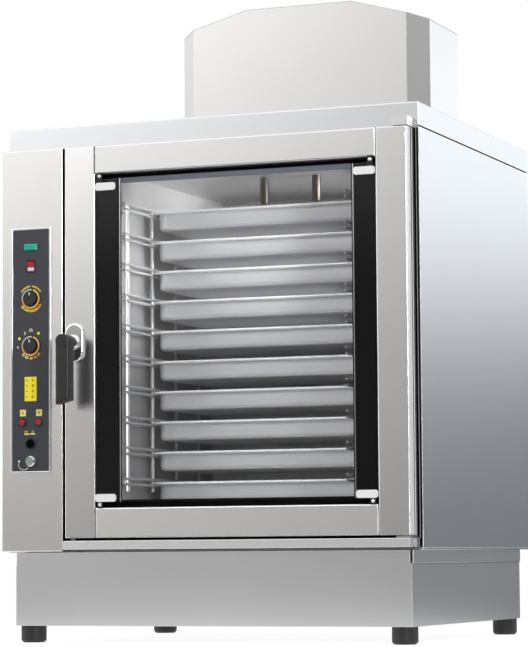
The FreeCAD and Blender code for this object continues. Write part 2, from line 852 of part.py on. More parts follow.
def make_baffle():
    """Plate on four standoffs, with a ring of inlet slots and a row of small slots above and below it."""
    body = new_body("baffle_body", FRONTWARD)
    half_x = "((cavity_right + cavity_left) / 2 - baffle_margin)"
    half_z = "((cavity_ceiling - cavity_floor) / 2 - baffle_margin)"
    plate = sketch_on(body, "baffle_outline", "XY_Plane")
    outline(plate, oblong(f"-{half_x}", half_x, f"-{half_z}", half_z))
    pad(body, "baffle_plate", plate, "baffle_gauge")
    legs = sketch_on(body, "baffle_legs", "XY_Plane")
    for across in ("-1", "1"):
        for up in ("-1", "1"):
            circle(legs, f"{across} * ({half_x} - standoff_inset)", f"{up} * ({half_z} - standoff_inset)",
                   "standoff_radius")
    pad(body, "baffle_standoffs", legs, "cavity_rear - baffle_reach - baffle_gauge", backward=True)
    inlet = sketch_on(body, "inlet_outline", "XY_Plane")
    outline(inlet, oblong("inlet_inner", "inlet_outer", "-inlet_slot / 2", "inlet_slot / 2"))
    first = pocket_away(body, "inlet_cut", inlet, "baffle_gauge", True)
    polar(body, "inlet_ring", first, inlet, count("inlet_slots"))
    rows = sketch_on(body, "row_outline", "XY_Plane")
    slots = count("row_slots")
    for side in ("-1", "1"):
        for step in range(slots):
            middle = f"{step - (slots - 1) / 2} * row_pitch"
            level = f"{side} * row_rise"
            outline(rows, oblong(
                f"{middle} - row_slot_width / 2", f"{middle} + row_slot_width / 2",
                f"{level} - row_slot_height / 2", f"{level} + row_slot_height / 2",
            ))
    body.Tip = pocket_away(body, "row_cut", rows, "baffle_gauge", True)
    node("fan_baffle", place(body, "cavity_centre", "front + baffle_reach + baffle_gauge", "fan_height"))


def make_ceiling_tubes():
    """Two short open tubes that hang from the cavity's ceiling."""
    tubes = []
    for name, x in (("near", "cavity_centre - tube_near"), ("far", "cavity_centre + tube_far")):
        centre = (x, "front + tube_reach")
        hollow = ("tube_end - tube_radius", "cavity_ceiling - tube_radius")
        wall = rod(f"tube_wall_{name}", "z", "tube_radius", "tube_end", "cavity_ceiling", centre)
        bore = rod(f"tube_bore_{name}", "z", "tube_bore", *hollow, centre)
        tubes.append(cut(f"tube_{name}", wall, bore))
    node("ceiling_tubes", group("tubes", *tubes))


def make_racks():
    """Wire racks: posts, a pair of wires for each tray laid against them and pegs to the cavity's wall."""
    post_x = "cavity_centre - post_offset"
    wire_x = "cavity_centre - wire_offset"
    posts = count("post_count")
    pieces = []
    for step in range(posts):
        y = f"front + post_reach + {step} * post_pitch"
        pieces.append(rod(f"post_{step}", "z", "post_radius", "post_bottom", "post_top", (post_x, y)))
    wire_y = (
        "front + post_reach - wire_lead",
        f"front + post_reach + {posts - 1} * post_pitch + wire_overhang",
    )
    for level in range(count("tray_count")):
        lip_under = f"tray_first + {level} * tray_pitch - tray_gauge"
        low = f"{lip_under} - tray_play - wire_radius"
        for end, z in (("low", low), ("high", f"{low} + wire_gap")):
            pieces.append(rod(f"wire_{level}_{end}", "y", "wire_radius", *wire_y, (wire_x, z)))
    peg_x = ("-cavity_left", f"{post_x} - post_radius")
    for step in (0, posts - 1):
        y = f"front + post_reach + {step} * post_pitch"
        for end, z in (("low", "post_bottom + peg_inset"), ("high", "post_top - peg_inset")):
            pieces.append(rod(f"peg_{step}_{end}", "x", "post_radius", *peg_x, (y, z)))
    left = group("rack_frame", *pieces)
    node("rack_left", left)
    right = doc.addObject("Part::Mirroring", "rack_mirror")
    right.Source = left
    right.Normal = FreeCAD.Vector(1, 0, 0)
    right.setExpression("Base.x", bind("cavity_centre"))
    node("rack_right", right)


def make_tray(number):
    """Deep-drawn tray with rounded corners and a flat lip that rides on the wires."""
    top = f"tray_first + {number - 1} * tray_pitch"
    x = ("tray_left", "tray_right")
    y = ("tray_front", "tray_front + tray_depth")
    label = f"tray_{number:02d}"

    def inset(span, margin):
        return (f"({span[0]}) + {margin}", f"({span[1]}) - ({margin})")

    lip = block(f"{label}_lip", x, y, (f"{top} - tray_gauge", top))
    pan = block(f"{label}_pan", inset(x, "tray_lip"), inset(y, "tray_lip"), (f"{top} - tray_height", top))
    wall = "(tray_lip + tray_gauge)"
    room = block(f"{label}_room", inset(x, wall), inset(y, wall),
                 (f"{top} - tray_height + tray_gauge", f"{top} + tray_height"))
    doc.recompute()
    upright = FreeCAD.Vector(0, 0, 1)
    outer = size("tray_corner")
    bottom = size("tray_bottom_round")
    gauge = size("tray_gauge")
    corners = (
        (lip, outer + size("tray_lip"), None),
        (pan, outer, bottom),
        (room, outer - gauge, bottom - gauge),
    )
    soft = []
    for piece, radius, under in corners:
        choices = [(edges_along(piece.Shape, upright), radius)]
        if under is not None:
            choices.append((edges_at_height(piece.Shape, piece.Shape.BoundBox.ZMin), under))
        soft.append(rounded(f"{piece.Name}_round", piece, *choices))
    node(label, cut(f"{label}_form", fuse(f"{label}_sheet", soft[0], soft[1]), soft[2]))


# Door, its hinges and its handle


def hollow_bar(name, x, y, z, *holes):
    """Closed sheet-metal bar with a drain hole below and any further holes through its walls."""
    shell = folded(block(f"{name}_bar", x, y, z), edges_at_front)

    def within(span):
        return (f"({span[0]}) + door_wall", f"({span[1]}) - door_wall")

    hollow = block(f"{name}_hollow", within(x), within(y), within(z))
    middle = (f"(({x[0]}) + ({x[1]})) / 2", f"(({y[0]}) + ({y[1]})) / 2")
    through = (f"({z[0]}) - door_wall", f"({z[0]}) + 2 * door_wall")
    drain = rod(f"{name}_drain", "z", "drain_radius", *through, middle)
    return cut(f"{name}_made", shell, hollow, drain, *holes)


def make_door():
    """Door of two stiles and two rails with an outer and an inner pane."""
    y = ("door_front", "door_back")
    past_z = ("door_bottom - door_wall", "door_top + door_wall")
    past_y = ("door_front - door_wall", "door_back + door_wall")
    pin_hole = rod("hinge_bore", "z", "hinge_pin + pin_play", *past_z, ("hinge_x", "hinge_y"))
    latch_hole = rod("latch_bore", "y", "latch_radius + pin_play", *past_y, ("-handle_left", "handle_height"))
    full_z = ("door_bottom", "door_top")
    between = ("glass_left", "glass_right")
    node("door_stile_left", hollow_bar("stile_left", ("-door_left", "glass_left"), y, full_z, latch_hole))
    node("door_stile_right", hollow_bar("stile_right", ("glass_right", "door_right"), y, full_z, pin_hole))
    node("door_rail_top", hollow_bar("rail_top", between, y, ("rail_high", "door_top")))
    node("door_rail_bottom", hollow_bar("rail_bottom", between, y, ("door_bottom", "rail_low")))
    node("door_glass_outer", block("pane_outer", between, ("glass_face", "glass_face + glass_gauge"),
                                   ("glass_low", "glass_high")))
    node("door_glass_inner", block("pane_inner", between, ("door_back - glass_gauge", "door_back"),
                                   ("rail_low", "rail_high")))
    make_clips()


def make_clips():
    """Rounded clips on the outer pane's corners, each with a lug that reaches the rail."""
    y = ("glass_face - clip_gauge", "glass_face")
    left = ("glass_left + clip_edge", "glass_left + clip_edge + clip_width")
    right = ("glass_right - clip_edge - clip_width", "glass_right - clip_edge")
    lug_left = ("glass_left + lug_inset", "glass_left + lug_inset + lug_width")
    lug_right = ("glass_right - lug_inset - lug_width", "glass_right - lug_inset")
    top = ("glass_high - clip_drop - clip_height", "glass_high - clip_drop")
    bottom = ("glass_low", "glass_low + clip_height")
    lug_top = ("glass_high - clip_drop - clip_height / 2", "rail_high")
    lug_bottom = ("rail_low", "glass_low + clip_height / 2")
    corners = (
        ("top_left", left, top, lug_left, lug_top),
        ("top_right", right, top, lug_right, lug_top),
        ("bottom_left", left, bottom, lug_left, lug_bottom),
        ("bottom_right", right, bottom, lug_right, lug_bottom),
    )
    clips = []
    for name, x, z, lug_x, lug_z in corners:
        plate = block(f"clip_plate_{name}", x, y, z)
        doc.recompute()
        soft = rounded(f"clip_soft_{name}", plate,
                       (edges_along(plate.Shape, FreeCAD.Vector(0, 1, 0)), size("clip_round")))
        lug = block(f"clip_lug_{name}", lug_x, y, lug_z)
        clips.append(fuse(f"clip_{name}", soft, lug))
    node("glass_clips", group("clips", *clips))


def make_hinges():
    """Hinge blocks above and below the door, each with the pin that the door turns on."""
    x = ("hinge_x - hinge_width / 2", "hinge_x + hinge_width / 2")
    axis = ("hinge_x", "hinge_y")
    upper_z = ("door_top + hinge_play", "door_top + hinge_play + hinge_height")
    upper = block("upper_block", x, ("door_front", "front"), upper_z)
    upper_pin = rod("upper_pin", "z", "hinge_pin", "door_top - hinge_reach", upper_z[1], axis)
    node("hinge_bracket_top", fuse("upper_hinge", upper, upper_pin))
    lower_z = ("door_bottom - hinge_play - lower_hinge_height", "door_bottom - hinge_play")
    lower_x = ("hinge_x - hinge_width / 2", "drip_right - 2 * casing_gauge")
    lower = block("lower_block", lower_x, ("hinge_y - hinge_width / 2", "frame_front"), lower_z)
    lower_pin = rod("lower_pin", "z", "hinge_pin", lower_z[0], "door_bottom + hinge_reach", axis)
    node("hinge_bracket_bottom", fuse("lower_hinge", lower, lower_pin))


def make_drip_tray():
    """Channel under the door that is open above, with a low back edge against the frame."""
    x = ("-drip_left", "drip_right")
    z = ("drip_bottom", "drip_bottom + drip_height")
    channel = tub("drip", x, ("front - drip_lead", "frame_front"), z, "casing_gauge", "top")
    relief = block(
        "drip_relief",
        ("casing_gauge - drip_left", "drip_right - casing_gauge"),
        ("front - casing_gauge", "frame_back"),
        ("drip_bottom + drip_back", "drip_bottom + 2 * drip_height"),
    )
    node("drip_tray", cut("drip_form", channel, relief))


def make_handle():
    """Lever on a neck, its cover disc, the oval plate under it and the latch on its shaft."""
    lever = new_body("lever_body", FRONTWARD)
    bar = sketch_on(lever, "lever_outline", "XY_Plane")
    outline(bar, [
        ("-lever_width / 2", "0"),
        ("-lever_width / 2", "-lever_length"),
        ("lever_width / 2", "lever_slant - lever_length"),
        ("lever_width / 2", "0"),
    ])
    pad(lever, "lever_bar", bar, "lever_gauge")
    head = sketch_on(lever, "lever_head", "XY_Plane")
    circle(head, "0", "0", "lever_width / 2")
    pad(lever, "lever_round_end", head, "lever_gauge")
    soften_rim(lever, "lever_soft", "lever_gauge", "lever_round")
    neck = sketch_on(lever, "lever_neck", "XY_Plane")
    circle(neck, "0", "0", "neck_radius")
    neck_length = "escutcheon_front - pin_play - lever_back"
    lever.Tip = pad(lever, "lever_neck_raised", neck, neck_length, backward=True)
    node("handle_lever", place(lever, "-handle_left", "lever_back", "handle_height"))

    disc = turned("disc_body", [
        ("0", "0"),
        ("disc_radius", "0"),
        ("disc_radius", "disc_gauge / 2"),
        ("disc_radius - disc_gauge / 2", "disc_gauge"),
        ("0", "disc_gauge"),
    ], FRONTWARD)
    node("handle_cover_disc", place(disc, "-handle_left", "lever_front", "handle_height"))

    plate = new_body("escutcheon_body", FRONTWARD)
    middle = sketch_on(plate, "escutcheon_middle", "XY_Plane")
    reach = "(escutcheon_height - escutcheon_width) / 2"
    outline(middle, oblong("-escutcheon_width / 2", "escutcheon_width / 2", f"-{reach}", reach))
    pad(plate, "escutcheon_bar", middle, "escutcheon_gauge")
    for end, up in (("top", reach), ("bottom", f"-{reach}")):
        cheek = sketch_on(plate, f"escutcheon_{end}", "XY_Plane")
        circle(cheek, "0", up, "escutcheon_width / 2")
        pad(plate, f"escutcheon_{end}_raised", cheek, "escutcheon_gauge")
    soften_rim(plate, "escutcheon_soft", "escutcheon_gauge", "escutcheon_round")
    bore = sketch_on(plate, "escutcheon_bore", "XY_Plane")
    circle(bore, "0", "0", "latch_radius + pin_play")
    plate.Tip = pocket_away(plate, "escutcheon_cut", bore, "escutcheon_gauge", True)
    node("handle_escutcheon", place(plate, "-handle_left", "door_front", "handle_height"))

    shaft = rod("latch_rod", "y", "latch_radius", "escutcheon_front - pin_play", "front + latch_depth",
                ("-handle_left", "handle_height"))
    cam = block("latch_cam", ("-handle_left - cam_width / 2", "cam_width / 2 - handle_left"),
                ("front + latch_depth - cam_gauge", "front + latch_depth"),
                ("handle_height - cam_length", "handle_height"))
    node("latch_pawl", fuse("latch", shaft, cam))
    keeper = block("keeper_plate",
                   ("-handle_left - keeper_width / 2", "keeper_width / 2 - handle_left"),
                   ("door_back + keeper_play", "frame_front"),
                   ("handle_height - keeper_height / 2", "handle_height + keeper_height / 2"))
    centre = ("-handle_left", "handle_height")
    way = rod("keeper_way", "y", "keeper_hole", "door_back", "frame_back", centre)
    node("latch_keeper", cut("keeper", keeper, way))


# Control strip, fascia and what is worked on it


def control_bores(name):
    """Bores and the switch cut-out that pass through the fascia and the strip."""
    span = ("fascia_front - fascia_gauge", "strip_front + 2 * casing_gauge")
    red_left = "-fascia_left - red_button_offset"
    red_right = "red_button_offset - fascia_left"
    spots = (
        ("upper_knob", "spindle_radius", "-fascia_left", "upper_knob_height"),
        ("lower_knob", "spindle_radius", "-fascia_left", "lower_knob_height"),
        ("red_left", "plunger_radius", red_left, "red_button_height"),
        ("red_right", "plunger_radius", red_right, "red_button_height"),
        ("black", "plunger_radius", "-fascia_left", "black_button_height"),
        ("probe", "plunger_radius", "-fascia_left", "probe_height"),
    )
    bores = [
        rod(f"{name}_{spot}", "y", f"{radius} + pin_play", *span, (x, z)) for spot, radius, x, z in spots
    ]
    half_x = "(rocker_width / 2 + rocker_play + bezel_wall)"
    half_z = "(rocker_room + bezel_wall)"
    bores.append(block(
        f"{name}_switch",
        (f"-fascia_left - {half_x}", f"{half_x} - fascia_left"), span,
        (f"rocker_height - {half_z}", f"rocker_height + {half_z}"),
    ))
    return bores


def make_strip():
    """Folded control strip, the dark fascia on it and the bright trim round the fascia."""
    strip = tub("strip", ("-strip_left", "-strip_right"), ("strip_front", "frame_front"),
                ("strip_bottom", "strip_top"), "casing_gauge", "back", edges_at_front)
    node("control_strip", cut("strip_form", strip, *control_bores("strip_bore")))
    x = ("-fascia_left - fascia_width / 2", "fascia_width / 2 - fascia_left")
    z = ("fascia_bottom", "fascia_top")
    panel = block("fascia_sheet", x, ("fascia_front", "strip_front"), z)
    node("fascia_panel", cut("fascia", panel, *control_bores("fascia_bore")))
    outer = block(
        "trim_outer",
        (f"{x[0]} - trim_width", f"{x[1]} + trim_width"),
        ("fascia_front - trim_proud", "strip_front"),
        (f"{z[0]} - trim_width", f"{z[1]} + trim_width"),
    )
    inner = block("trim_inner", x, ("fascia_front - 2 * trim_proud", "strip_front + trim_proud"), z)
    trim = cut("trim", outer, inner)
    doc.recompute()
    node("fascia_frame", rounded("trim_bead", trim, (edges_at_front(trim.Shape), size("trim_round"))))


def make_lamp():
    """Oblong pilot lamp with a rounded lens."""
    lens = block(
        "lamp_lens",
        ("-fascia_left - lamp_width / 2", "lamp_width / 2 - fascia_left"),
        ("fascia_front - lamp_proud", "fascia_front"),
        ("lamp_height - lamp_tall / 2", "lamp_height + lamp_tall / 2"),
    )
    doc.recompute()
    node("pilot_lamp", rounded("lamp", lens, (edges_at_front(lens.Shape), size("lamp_round"))))


def make_rocker():
    """Rocker switch that tips on two trunnions in its bezel."""
    axis_y = "fascia_front + rocker_pivot"
    half = "rocker_width / 2"
    wedge = place(prism("rocker_wedge", "YZ_Plane", [
        ("-rocker_proud", "rocker_radius"),
        ("rocker_back", "rocker_radius"),
        ("rocker_back", "-rocker_radius"),
        ("-rocker_low", "-rocker_radius"),
        ("-rocker_waist", "0"),
    ], "rocker_width"), f"-fascia_left - {half}", "fascia_front", "rocker_height")
    drum = rod("rocker_drum", "x", "rocker_radius", f"-fascia_left - {half}", f"{half} - fascia_left",
               (axis_y, "rocker_height"))
    pin_half = f"({half} + rocker_play + bezel_wall / 2)"
    pin_x = (f"-fascia_left - {pin_half}", f"{pin_half} - fascia_left")
    pin = rod("rocker_trunnion", "x", "rocker_pin", *pin_x, (axis_y, "rocker_height"))
    node("rocker", fuse("rocker_form", common("rocker_solid", wedge, drum), pin))

    def ring(half_x, half_z, y, name):
        return block(name, (f"-fascia_left - ({half_x})", f"({half_x}) - fascia_left"), y,
                     (f"rocker_height - ({half_z})", f"rocker_height + ({half_z})"))

    room_x = "rocker_width / 2 + rocker_play"
    back = "fascia_front + bezel_depth"
    sleeve = ring(f"{room_x} + bezel_wall", "rocker_room + bezel_wall", ("fascia_front", back),
                  "bezel_sleeve")
    lip = ring(f"{room_x} + bezel_wall + bezel_lip", "rocker_room + bezel_wall + bezel_lip",
               ("fascia_front - bezel_proud", "fascia_front"), "bezel_lip_ring")
    room = ring(room_x, "rocker_room", ("fascia_front - 2 * bezel_proud", "fascia_front + 2 * bezel_depth"),
                "bezel_room")
    bore_half = f"({room_x} + 2 * bezel_wall)"
    bore = rod("bezel_bore", "x", "rocker_pin + pin_play", f"-fascia_left - {bore_half}",
               f"{bore_half} - fascia_left", (axis_y, "rocker_height"))
    node("rocker_bezel", cut("bezel", fuse("bezel_solid", sleeve, lip), room, bore))


def make_knob(name, height):
    """Fluted knob with a round skirt, on a spindle."""
    body = new_body(f"{name}_body", FRONTWARD)
    profile = sketch_on(body, f"{name}_profile", "XZ_Plane")
    outline(profile, [
        ("0", "-spindle_length"),
        ("spindle_radius", "-spindle_length"),
        ("spindle_radius", "knob_play"),
        ("knob_radius", "knob_play"),
        ("knob_radius", "knob_skirt - knob_edge"),
        ("knob_radius - knob_edge", "knob_skirt"),
        ("knob_grip", "knob_skirt"),
        ("knob_grip", "knob_height - knob_edge"),
        ("knob_grip - knob_edge", "knob_height"),
        ("0", "knob_height"),
    ])
    revolve(body, f"{name}_turned", profile)
    flute = sketch_on(body, f"{name}_flute", "XY_Plane", "knob_skirt")
    circle(flute, "knob_grip + knob_flute / 2", "0", "knob_flute")
    first = pocket_away(body, f"{name}_flute_cut", flute, "knob_height", True)
    polar(body, f"{name}_flutes", first, flute, count("knob_flutes"))
    node(name, place(body, "-fascia_left", "fascia_front", height))


def button_profile(radius):
    """Profile of a push button: plunger, shoulder and crowned face."""
    return [
        ("0", "-plunger_length"),
        ("plunger_radius", "-plunger_length"),
        ("plunger_radius", "button_lift"),
        (radius, "button_lift"),
        (radius, "button_face"),
        (f"{radius} - button_crown", "button_face + button_crown"),
        ("0", "button_face + button_crown"),
    ]


def make_buttons():
    """Two red buttons and one black one, each in a raised bezel ring."""
    spots = (
        ("red_button_left", "red_button_radius", "-fascia_left - red_button_offset", "red_button_height"),
        ("red_button_right", "red_button_radius", "red_button_offset - fascia_left", "red_button_height"),
        ("black_button", "black_button_radius", "-fascia_left", "black_button_height"),
    )
    rings = []
    for name, radius, x, z in spots:
        button = turned(f"{name}_body", button_profile(radius), FRONTWARD)
        node(name, place(button, x, "fascia_front", z))
        ring = turned(f"{name}_ring", [
            (f"{radius} + button_play", "0"),
            (f"{radius} + button_play + button_rim", "0"),
            (f"{radius} + button_play + button_rim", "button_rim_proud / 2"),
            (f"{radius} + button_play + button_rim / 2", "button_rim_proud"),
            (f"{radius} + button_play", "button_rim_proud"),
        ], FRONTWARD)
        rings.append(place(ring, x, "fascia_front", z))
    node("button_bezels", group("bezel_rings", *rings))


def make_probe_cap():
    """Grooved screw cap of the probe socket, on a stem through the fascia."""
    body = new_body("probe_body", FRONTWARD)
    profile = sketch_on(body, "probe_profile", "XZ_Plane")
    outline(profile, [
        ("0", "-plunger_length"),
        ("plunger_radius", "-plunger_length"),
        ("plunger_radius", "knob_play"),
        ("probe_radius", "knob_play"),
        ("probe_radius", "probe_proud - probe_edge"),
        ("probe_radius - probe_edge", "probe_proud"),
        ("0", "probe_proud"),
    ])
    revolve(body, "probe_turned", profile)
    groove = sketch_on(body, "probe_groove_outline", "XY_Plane", "probe_edge")
    circle(groove, "probe_radius + probe_groove / 4", "0", "probe_groove")
    first = pocket_away(body, "probe_groove_cut", groove, "probe_proud", True)
    polar(body, "probe_grooves", first, groove, count("probe_grooves"))
    node("probe_cap", place(body, "-fascia_left", "fascia_front", "probe_height"))


def write_nodes():
    """Check every object and every sub-part, then write the sub-parts."""
    doc.recompute()
    failed = [
        item.Name for item in doc.Objects
        if any(flag in item.State for flag in ("Invalid", "Error"))
    ]
    if failed:
        raise RuntimeError(f"objects failed: {failed}")
    for name, item in nodes.items():
        shape = item.Shape
        if shape.isNull() or not shape.isValid() or shape.Volume <= 0:
            raise RuntimeError(f"bad shape: {name}")
    os.makedirs("parts", exist_ok=True)
    for name, item in nodes.items():
        item.Shape.exportStep(f"parts/{name}.step")


fill_sheet()
make_base()
make_feet()
make_casing()
make_hood()
make_front()
make_fan()
make_ceiling_tubes()
make_racks()
for tray in range(1, count("tray_count") + 1):
    make_tray(tray)
make_door()
make_hinges()
make_drip_tray()
make_handle()
make_strip()
make_lamp()
make_rocker()
make_knob("knob_upper", "upper_knob_height")
make_knob("knob_lower", "lower_knob_height")
make_buttons()
make_probe_cap()
write_nodes()
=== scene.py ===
import json
import math

import bmesh
import bpy
from mathutils import Matrix, Vector


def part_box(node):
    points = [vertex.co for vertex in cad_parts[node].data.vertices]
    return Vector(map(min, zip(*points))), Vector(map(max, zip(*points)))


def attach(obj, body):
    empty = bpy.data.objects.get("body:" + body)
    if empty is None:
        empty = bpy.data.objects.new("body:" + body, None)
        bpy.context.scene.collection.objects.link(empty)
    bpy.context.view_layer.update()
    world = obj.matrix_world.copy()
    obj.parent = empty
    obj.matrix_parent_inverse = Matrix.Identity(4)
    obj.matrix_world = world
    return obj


MM = 0.001
IMAGE_HEIGHT = 647  # of the photograph, in pixels
FOCAL_PIXELS = 2732.7
SENSOR_HEIGHT = 36.0
CAMERA_ANGLES = (21.962, 4.812, -0.402)  # yaw, pitch and roll in degrees
CAMERA_PLACE = (2.342, -5.829, 0.1925)
NOISE_RANGE = (0.3, 0.7)  # where most of a noise's values lie
CHANGE_WIDTH = 0.0004  # over which one colour of a piece gives way to another
CLIP_PLATE = (0.308, 1.013)  # heights between which the clips are pale
PRINT_LIFT, PRINT_DEPTH = 0.0002, 0.0003
BAND_DEPTH = 0.0006
NUMBER_RADIUS, NUMBER_HEIGHT = 0.0272, 0.0060
TRAY_NUMBERS = range(1, 11)
TRAY_MIDDLE = 0.053
FLOOR_RADIUS, FLOOR_GLOW = 0.9, 0.80

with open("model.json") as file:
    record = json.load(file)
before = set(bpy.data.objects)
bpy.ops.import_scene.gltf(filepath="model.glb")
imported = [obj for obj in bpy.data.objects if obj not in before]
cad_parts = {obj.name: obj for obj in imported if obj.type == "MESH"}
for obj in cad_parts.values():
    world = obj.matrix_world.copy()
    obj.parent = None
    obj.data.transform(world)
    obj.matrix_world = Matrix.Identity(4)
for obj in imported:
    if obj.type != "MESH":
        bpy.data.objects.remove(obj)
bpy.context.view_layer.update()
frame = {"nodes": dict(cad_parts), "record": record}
nodes = frame["nodes"]
scene = bpy.context.scene


# Materials


class Shader:
    """Node tree of a material or of the world, with short calls to add and join nodes."""

    def __init__(self, owner, output="OutputMaterial"):
        owner.use_nodes = True
        self.owner = owner
        self.tree = owner.node_tree
        self.tree.nodes.clear()
        self.output = self.add(output)

    def add(self, kind, settings=None, **inputs):
        """New node with its settings, and its sockets set to values or joined to other sockets."""
        item = self.tree.nodes.new(f"ShaderNode{kind}")
        for key, value in (settings or {}).items():
            setattr(item, key, value)
        for key, value in inputs.items():
            self.join(value, item.inputs[key.replace("_", " ")])
        return item

    def join(self, value, socket):
        """Join an output to a socket, or set the socket's own value."""
        if isinstance(value, bpy.types.NodeSocket):
            self.tree.links.new(value, socket)
        else:
            socket.default_value = value

    def math(self, operation, first, second=0.0):
        """One sum on two values."""
        item = self.tree.nodes.new("ShaderNodeMath")
        item.operation = operation
        self.join(first, item.inputs[0])
        self.join(second, item.inputs[1])
        return item.outputs[0]

    def ramp(self, value, low, high, start, end, smooth=False):
        """Value stretched from one range to another and kept inside it."""
        item = self.tree.nodes.new("ShaderNodeMapRange")
        item.interpolation_type = "SMOOTHSTEP" if smooth else "LINEAR"
        for socket, number in zip(item.inputs[:5], (value, low, high, start, end)):
            self.join(number, socket)
        return item.outputs[0]

    def product(self, *values):
        """Values multiplied together."""
        total = values[0]
        for value in values[1:]:
            total = self.math("MULTIPLY", total, value)
        return total

    def seen(self, *kinds):
        """One for rays of the named kinds, nought for all others."""
        rays = self.add("LightPath").outputs
        total = rays[kinds[0]]
        for kind in kinds[1:]:
            total = self.math("MAXIMUM", total, rays[kind])
        return total

    def mix(self, factor, first, second):
        """Blend of two colours."""
        item = self.tree.nodes.new("ShaderNodeMix")
        item.data_type = "RGBA"
        for socket, value in zip((item.inputs[0], item.inputs[6], item.inputs[7]), (factor, first, second)):
            self.join(value, socket)
        return item.outputs[2]

    def place(self):
        """Coordinates in the piece's own frame."""
        return self.add("TexCoord").outputs["Object"]

    def noise(self, scale, stretch=(1.0, 1.0, 1.0), detail=2.0):
        """Noise in the piece's own frame, stretched along its axes."""
        spread = self.add("Mapping", Vector=self.place(), Scale=stretch)
        item = self.add("TexNoise", Vector=spread.outputs[0], Scale=scale, Detail=detail, Roughness=0.55)
        return item.outputs["Fac"]

    def vary(self, noise, start, end):
        """Noise stretched to run between two values."""
        return self.ramp(noise, *NOISE_RANGE, start, end)

    def bump(self, height, strength, distance):
        """Bumped normal from a height."""
        return self.add("Bump", Height=height, Strength=strength, Distance=distance).outputs[0]

    def finish(self, shader):
        """Send a shader to the output."""
        self.tree.links.new(shader.outputs[0], self.output.inputs["Surface"])
        return self.owner


def new_shader(name):
    """Shader of a new material."""
    return Shader(bpy.data.materials.new(name))


def rgb(level, warm=0.0):
    """Grey of a linear level, a little warmer or cooler."""
    return (level * (1 + warm), level, level * (1 - warm), 1.0)


def paler(colour, gain):
    """Colour made lighter by a factor."""
    return tuple(min(1.0, part * gain) for part in colour[:3]) + (1.0,)


# Scratches in the steel: few in a metre along the grain, many across it
GRAIN = {"x": (12.0, 1100.0, 1100.0), "y": (1100.0, 12.0, 1100.0), "z": (1100.0, 1100.0, 12.0)}


def steel(name, level, roughness, grain="x", warm=0.0, streak=0.0005, metallic=1.0):
    """Satin sheet steel: fine scratches along the grain and a faint broad cloudiness."""
    shader = new_shader(name)
    scratch = shader.noise(1.0, GRAIN[grain])
    cloud = shader.noise(4.0, detail=3.0)
    rough = shader.math("ADD", shader.vary(scratch, roughness - streak, roughness + streak),
                        shader.vary(cloud, -0.002, 0.002))
    dark, light = rgb(level * 0.99, warm), rgb(level * 1.01, warm)
    return shader.finish(shader.add(
        "BsdfPrincipled", Base_Color=shader.mix(shader.vary(cloud, 0.0, 1.0), dark, light),
        Metallic=metallic, Roughness=rough,
    ))


def plastic(name, colour, roughness, depth=0.08, coat=0.0, wear=1.15):
    """Moulded plastic: a fine grain and slightly paler worn patches."""
    shader = new_shader(name)
    fine = shader.noise(900.0)
    patch = shader.noise(60.0, detail=4.0)
    worn = shader.ramp(patch, 0.45, 0.75, 0.0, 1.0)
    return shader.finish(shader.add(
        "BsdfPrincipled", Base_Color=shader.mix(worn, colour, paler(colour, wear)),
        Roughness=shader.vary(patch, roughness - 0.03, roughness + 0.03),
        Coat_Weight=coat, Normal=shader.bump(fine, depth, 0.0003),
    ))


def glass(name, tint):
    """Clear pane: straight-through light, and a mirror that grows towards the edge of sight."""
    shader = new_shader(name)
    edge = shader.add("LayerWeight", Blend=0.5).outputs["Facing"]
    gloss = shader.ramp(shader.math("POWER", edge, 5.0), 0.0, 1.0, 0.018, 1.0)
    smear = shader.ramp(shader.noise(14.0, (1.0, 1.0, 0.4), detail=4.0), 0.3, 0.8, 0.0, 0.01)
    clear = shader.add("BsdfTransparent", Color=tint)
    mirror = shader.add("BsdfGlossy", Color=(1.0, 1.0, 1.0, 1.0), Roughness=smear)
    blend = shader.add("MixShader")
    shader.join(gloss, blend.inputs[0])
    shader.join(clear.outputs[0], blend.inputs[1])
    shader.join(mirror.outputs[0], blend.inputs[2])
    return shader.finish(blend)


def clip_metal(low, high):
    """Pale clip plates whose lugs, above and below the pane, are blackened."""
    shader = new_shader("clip_plate")
    height = shader.add("SeparateXYZ", Vector=shader.place()).outputs["Z"]
    lug = shader.math("ADD", shader.ramp(height, low, low - CHANGE_WIDTH, 0.0, 1.0),
                      shader.ramp(height, high, high + CHANGE_WIDTH, 0.0, 1.0))
    cloud = shader.noise(300.0)
    plate_colour = shader.mix(cloud, (0.88, 0.88, 0.89, 1.0), (0.96, 0.96, 0.97, 1.0))
    return shader.finish(shader.add(
        "BsdfPrincipled", Base_Color=shader.mix(lug, plate_colour, (0.006, 0.006, 0.007, 1.0)),
        Metallic=shader.ramp(lug, 0.0, 1.0, 0.25, 0.0), Roughness=shader.vary(cloud, 0.36, 0.46),
    ))


def rocker_plastic(middle):
    """Red upper part and white lower part of the rocker."""
    shader = new_shader("rocker_red_white")
    height = shader.add("SeparateXYZ", Vector=shader.place()).outputs["Z"]
    upper = shader.ramp(height, middle - CHANGE_WIDTH, middle + CHANGE_WIDTH, 0.0, 1.0)
    patch = shader.noise(500.0)
    red = shader.mix(patch, (0.55, 0.015, 0.02, 1.0), (0.68, 0.03, 0.035, 1.0))
    white = shader.mix(patch, (0.72, 0.71, 0.69, 1.0), (0.82, 0.81, 0.79, 1.0))
    return shader.finish(shader.add(
        "BsdfPrincipled", Base_Color=shader.mix(upper, white, red), Roughness=shader.vary(patch, 0.25, 0.38),
    ))


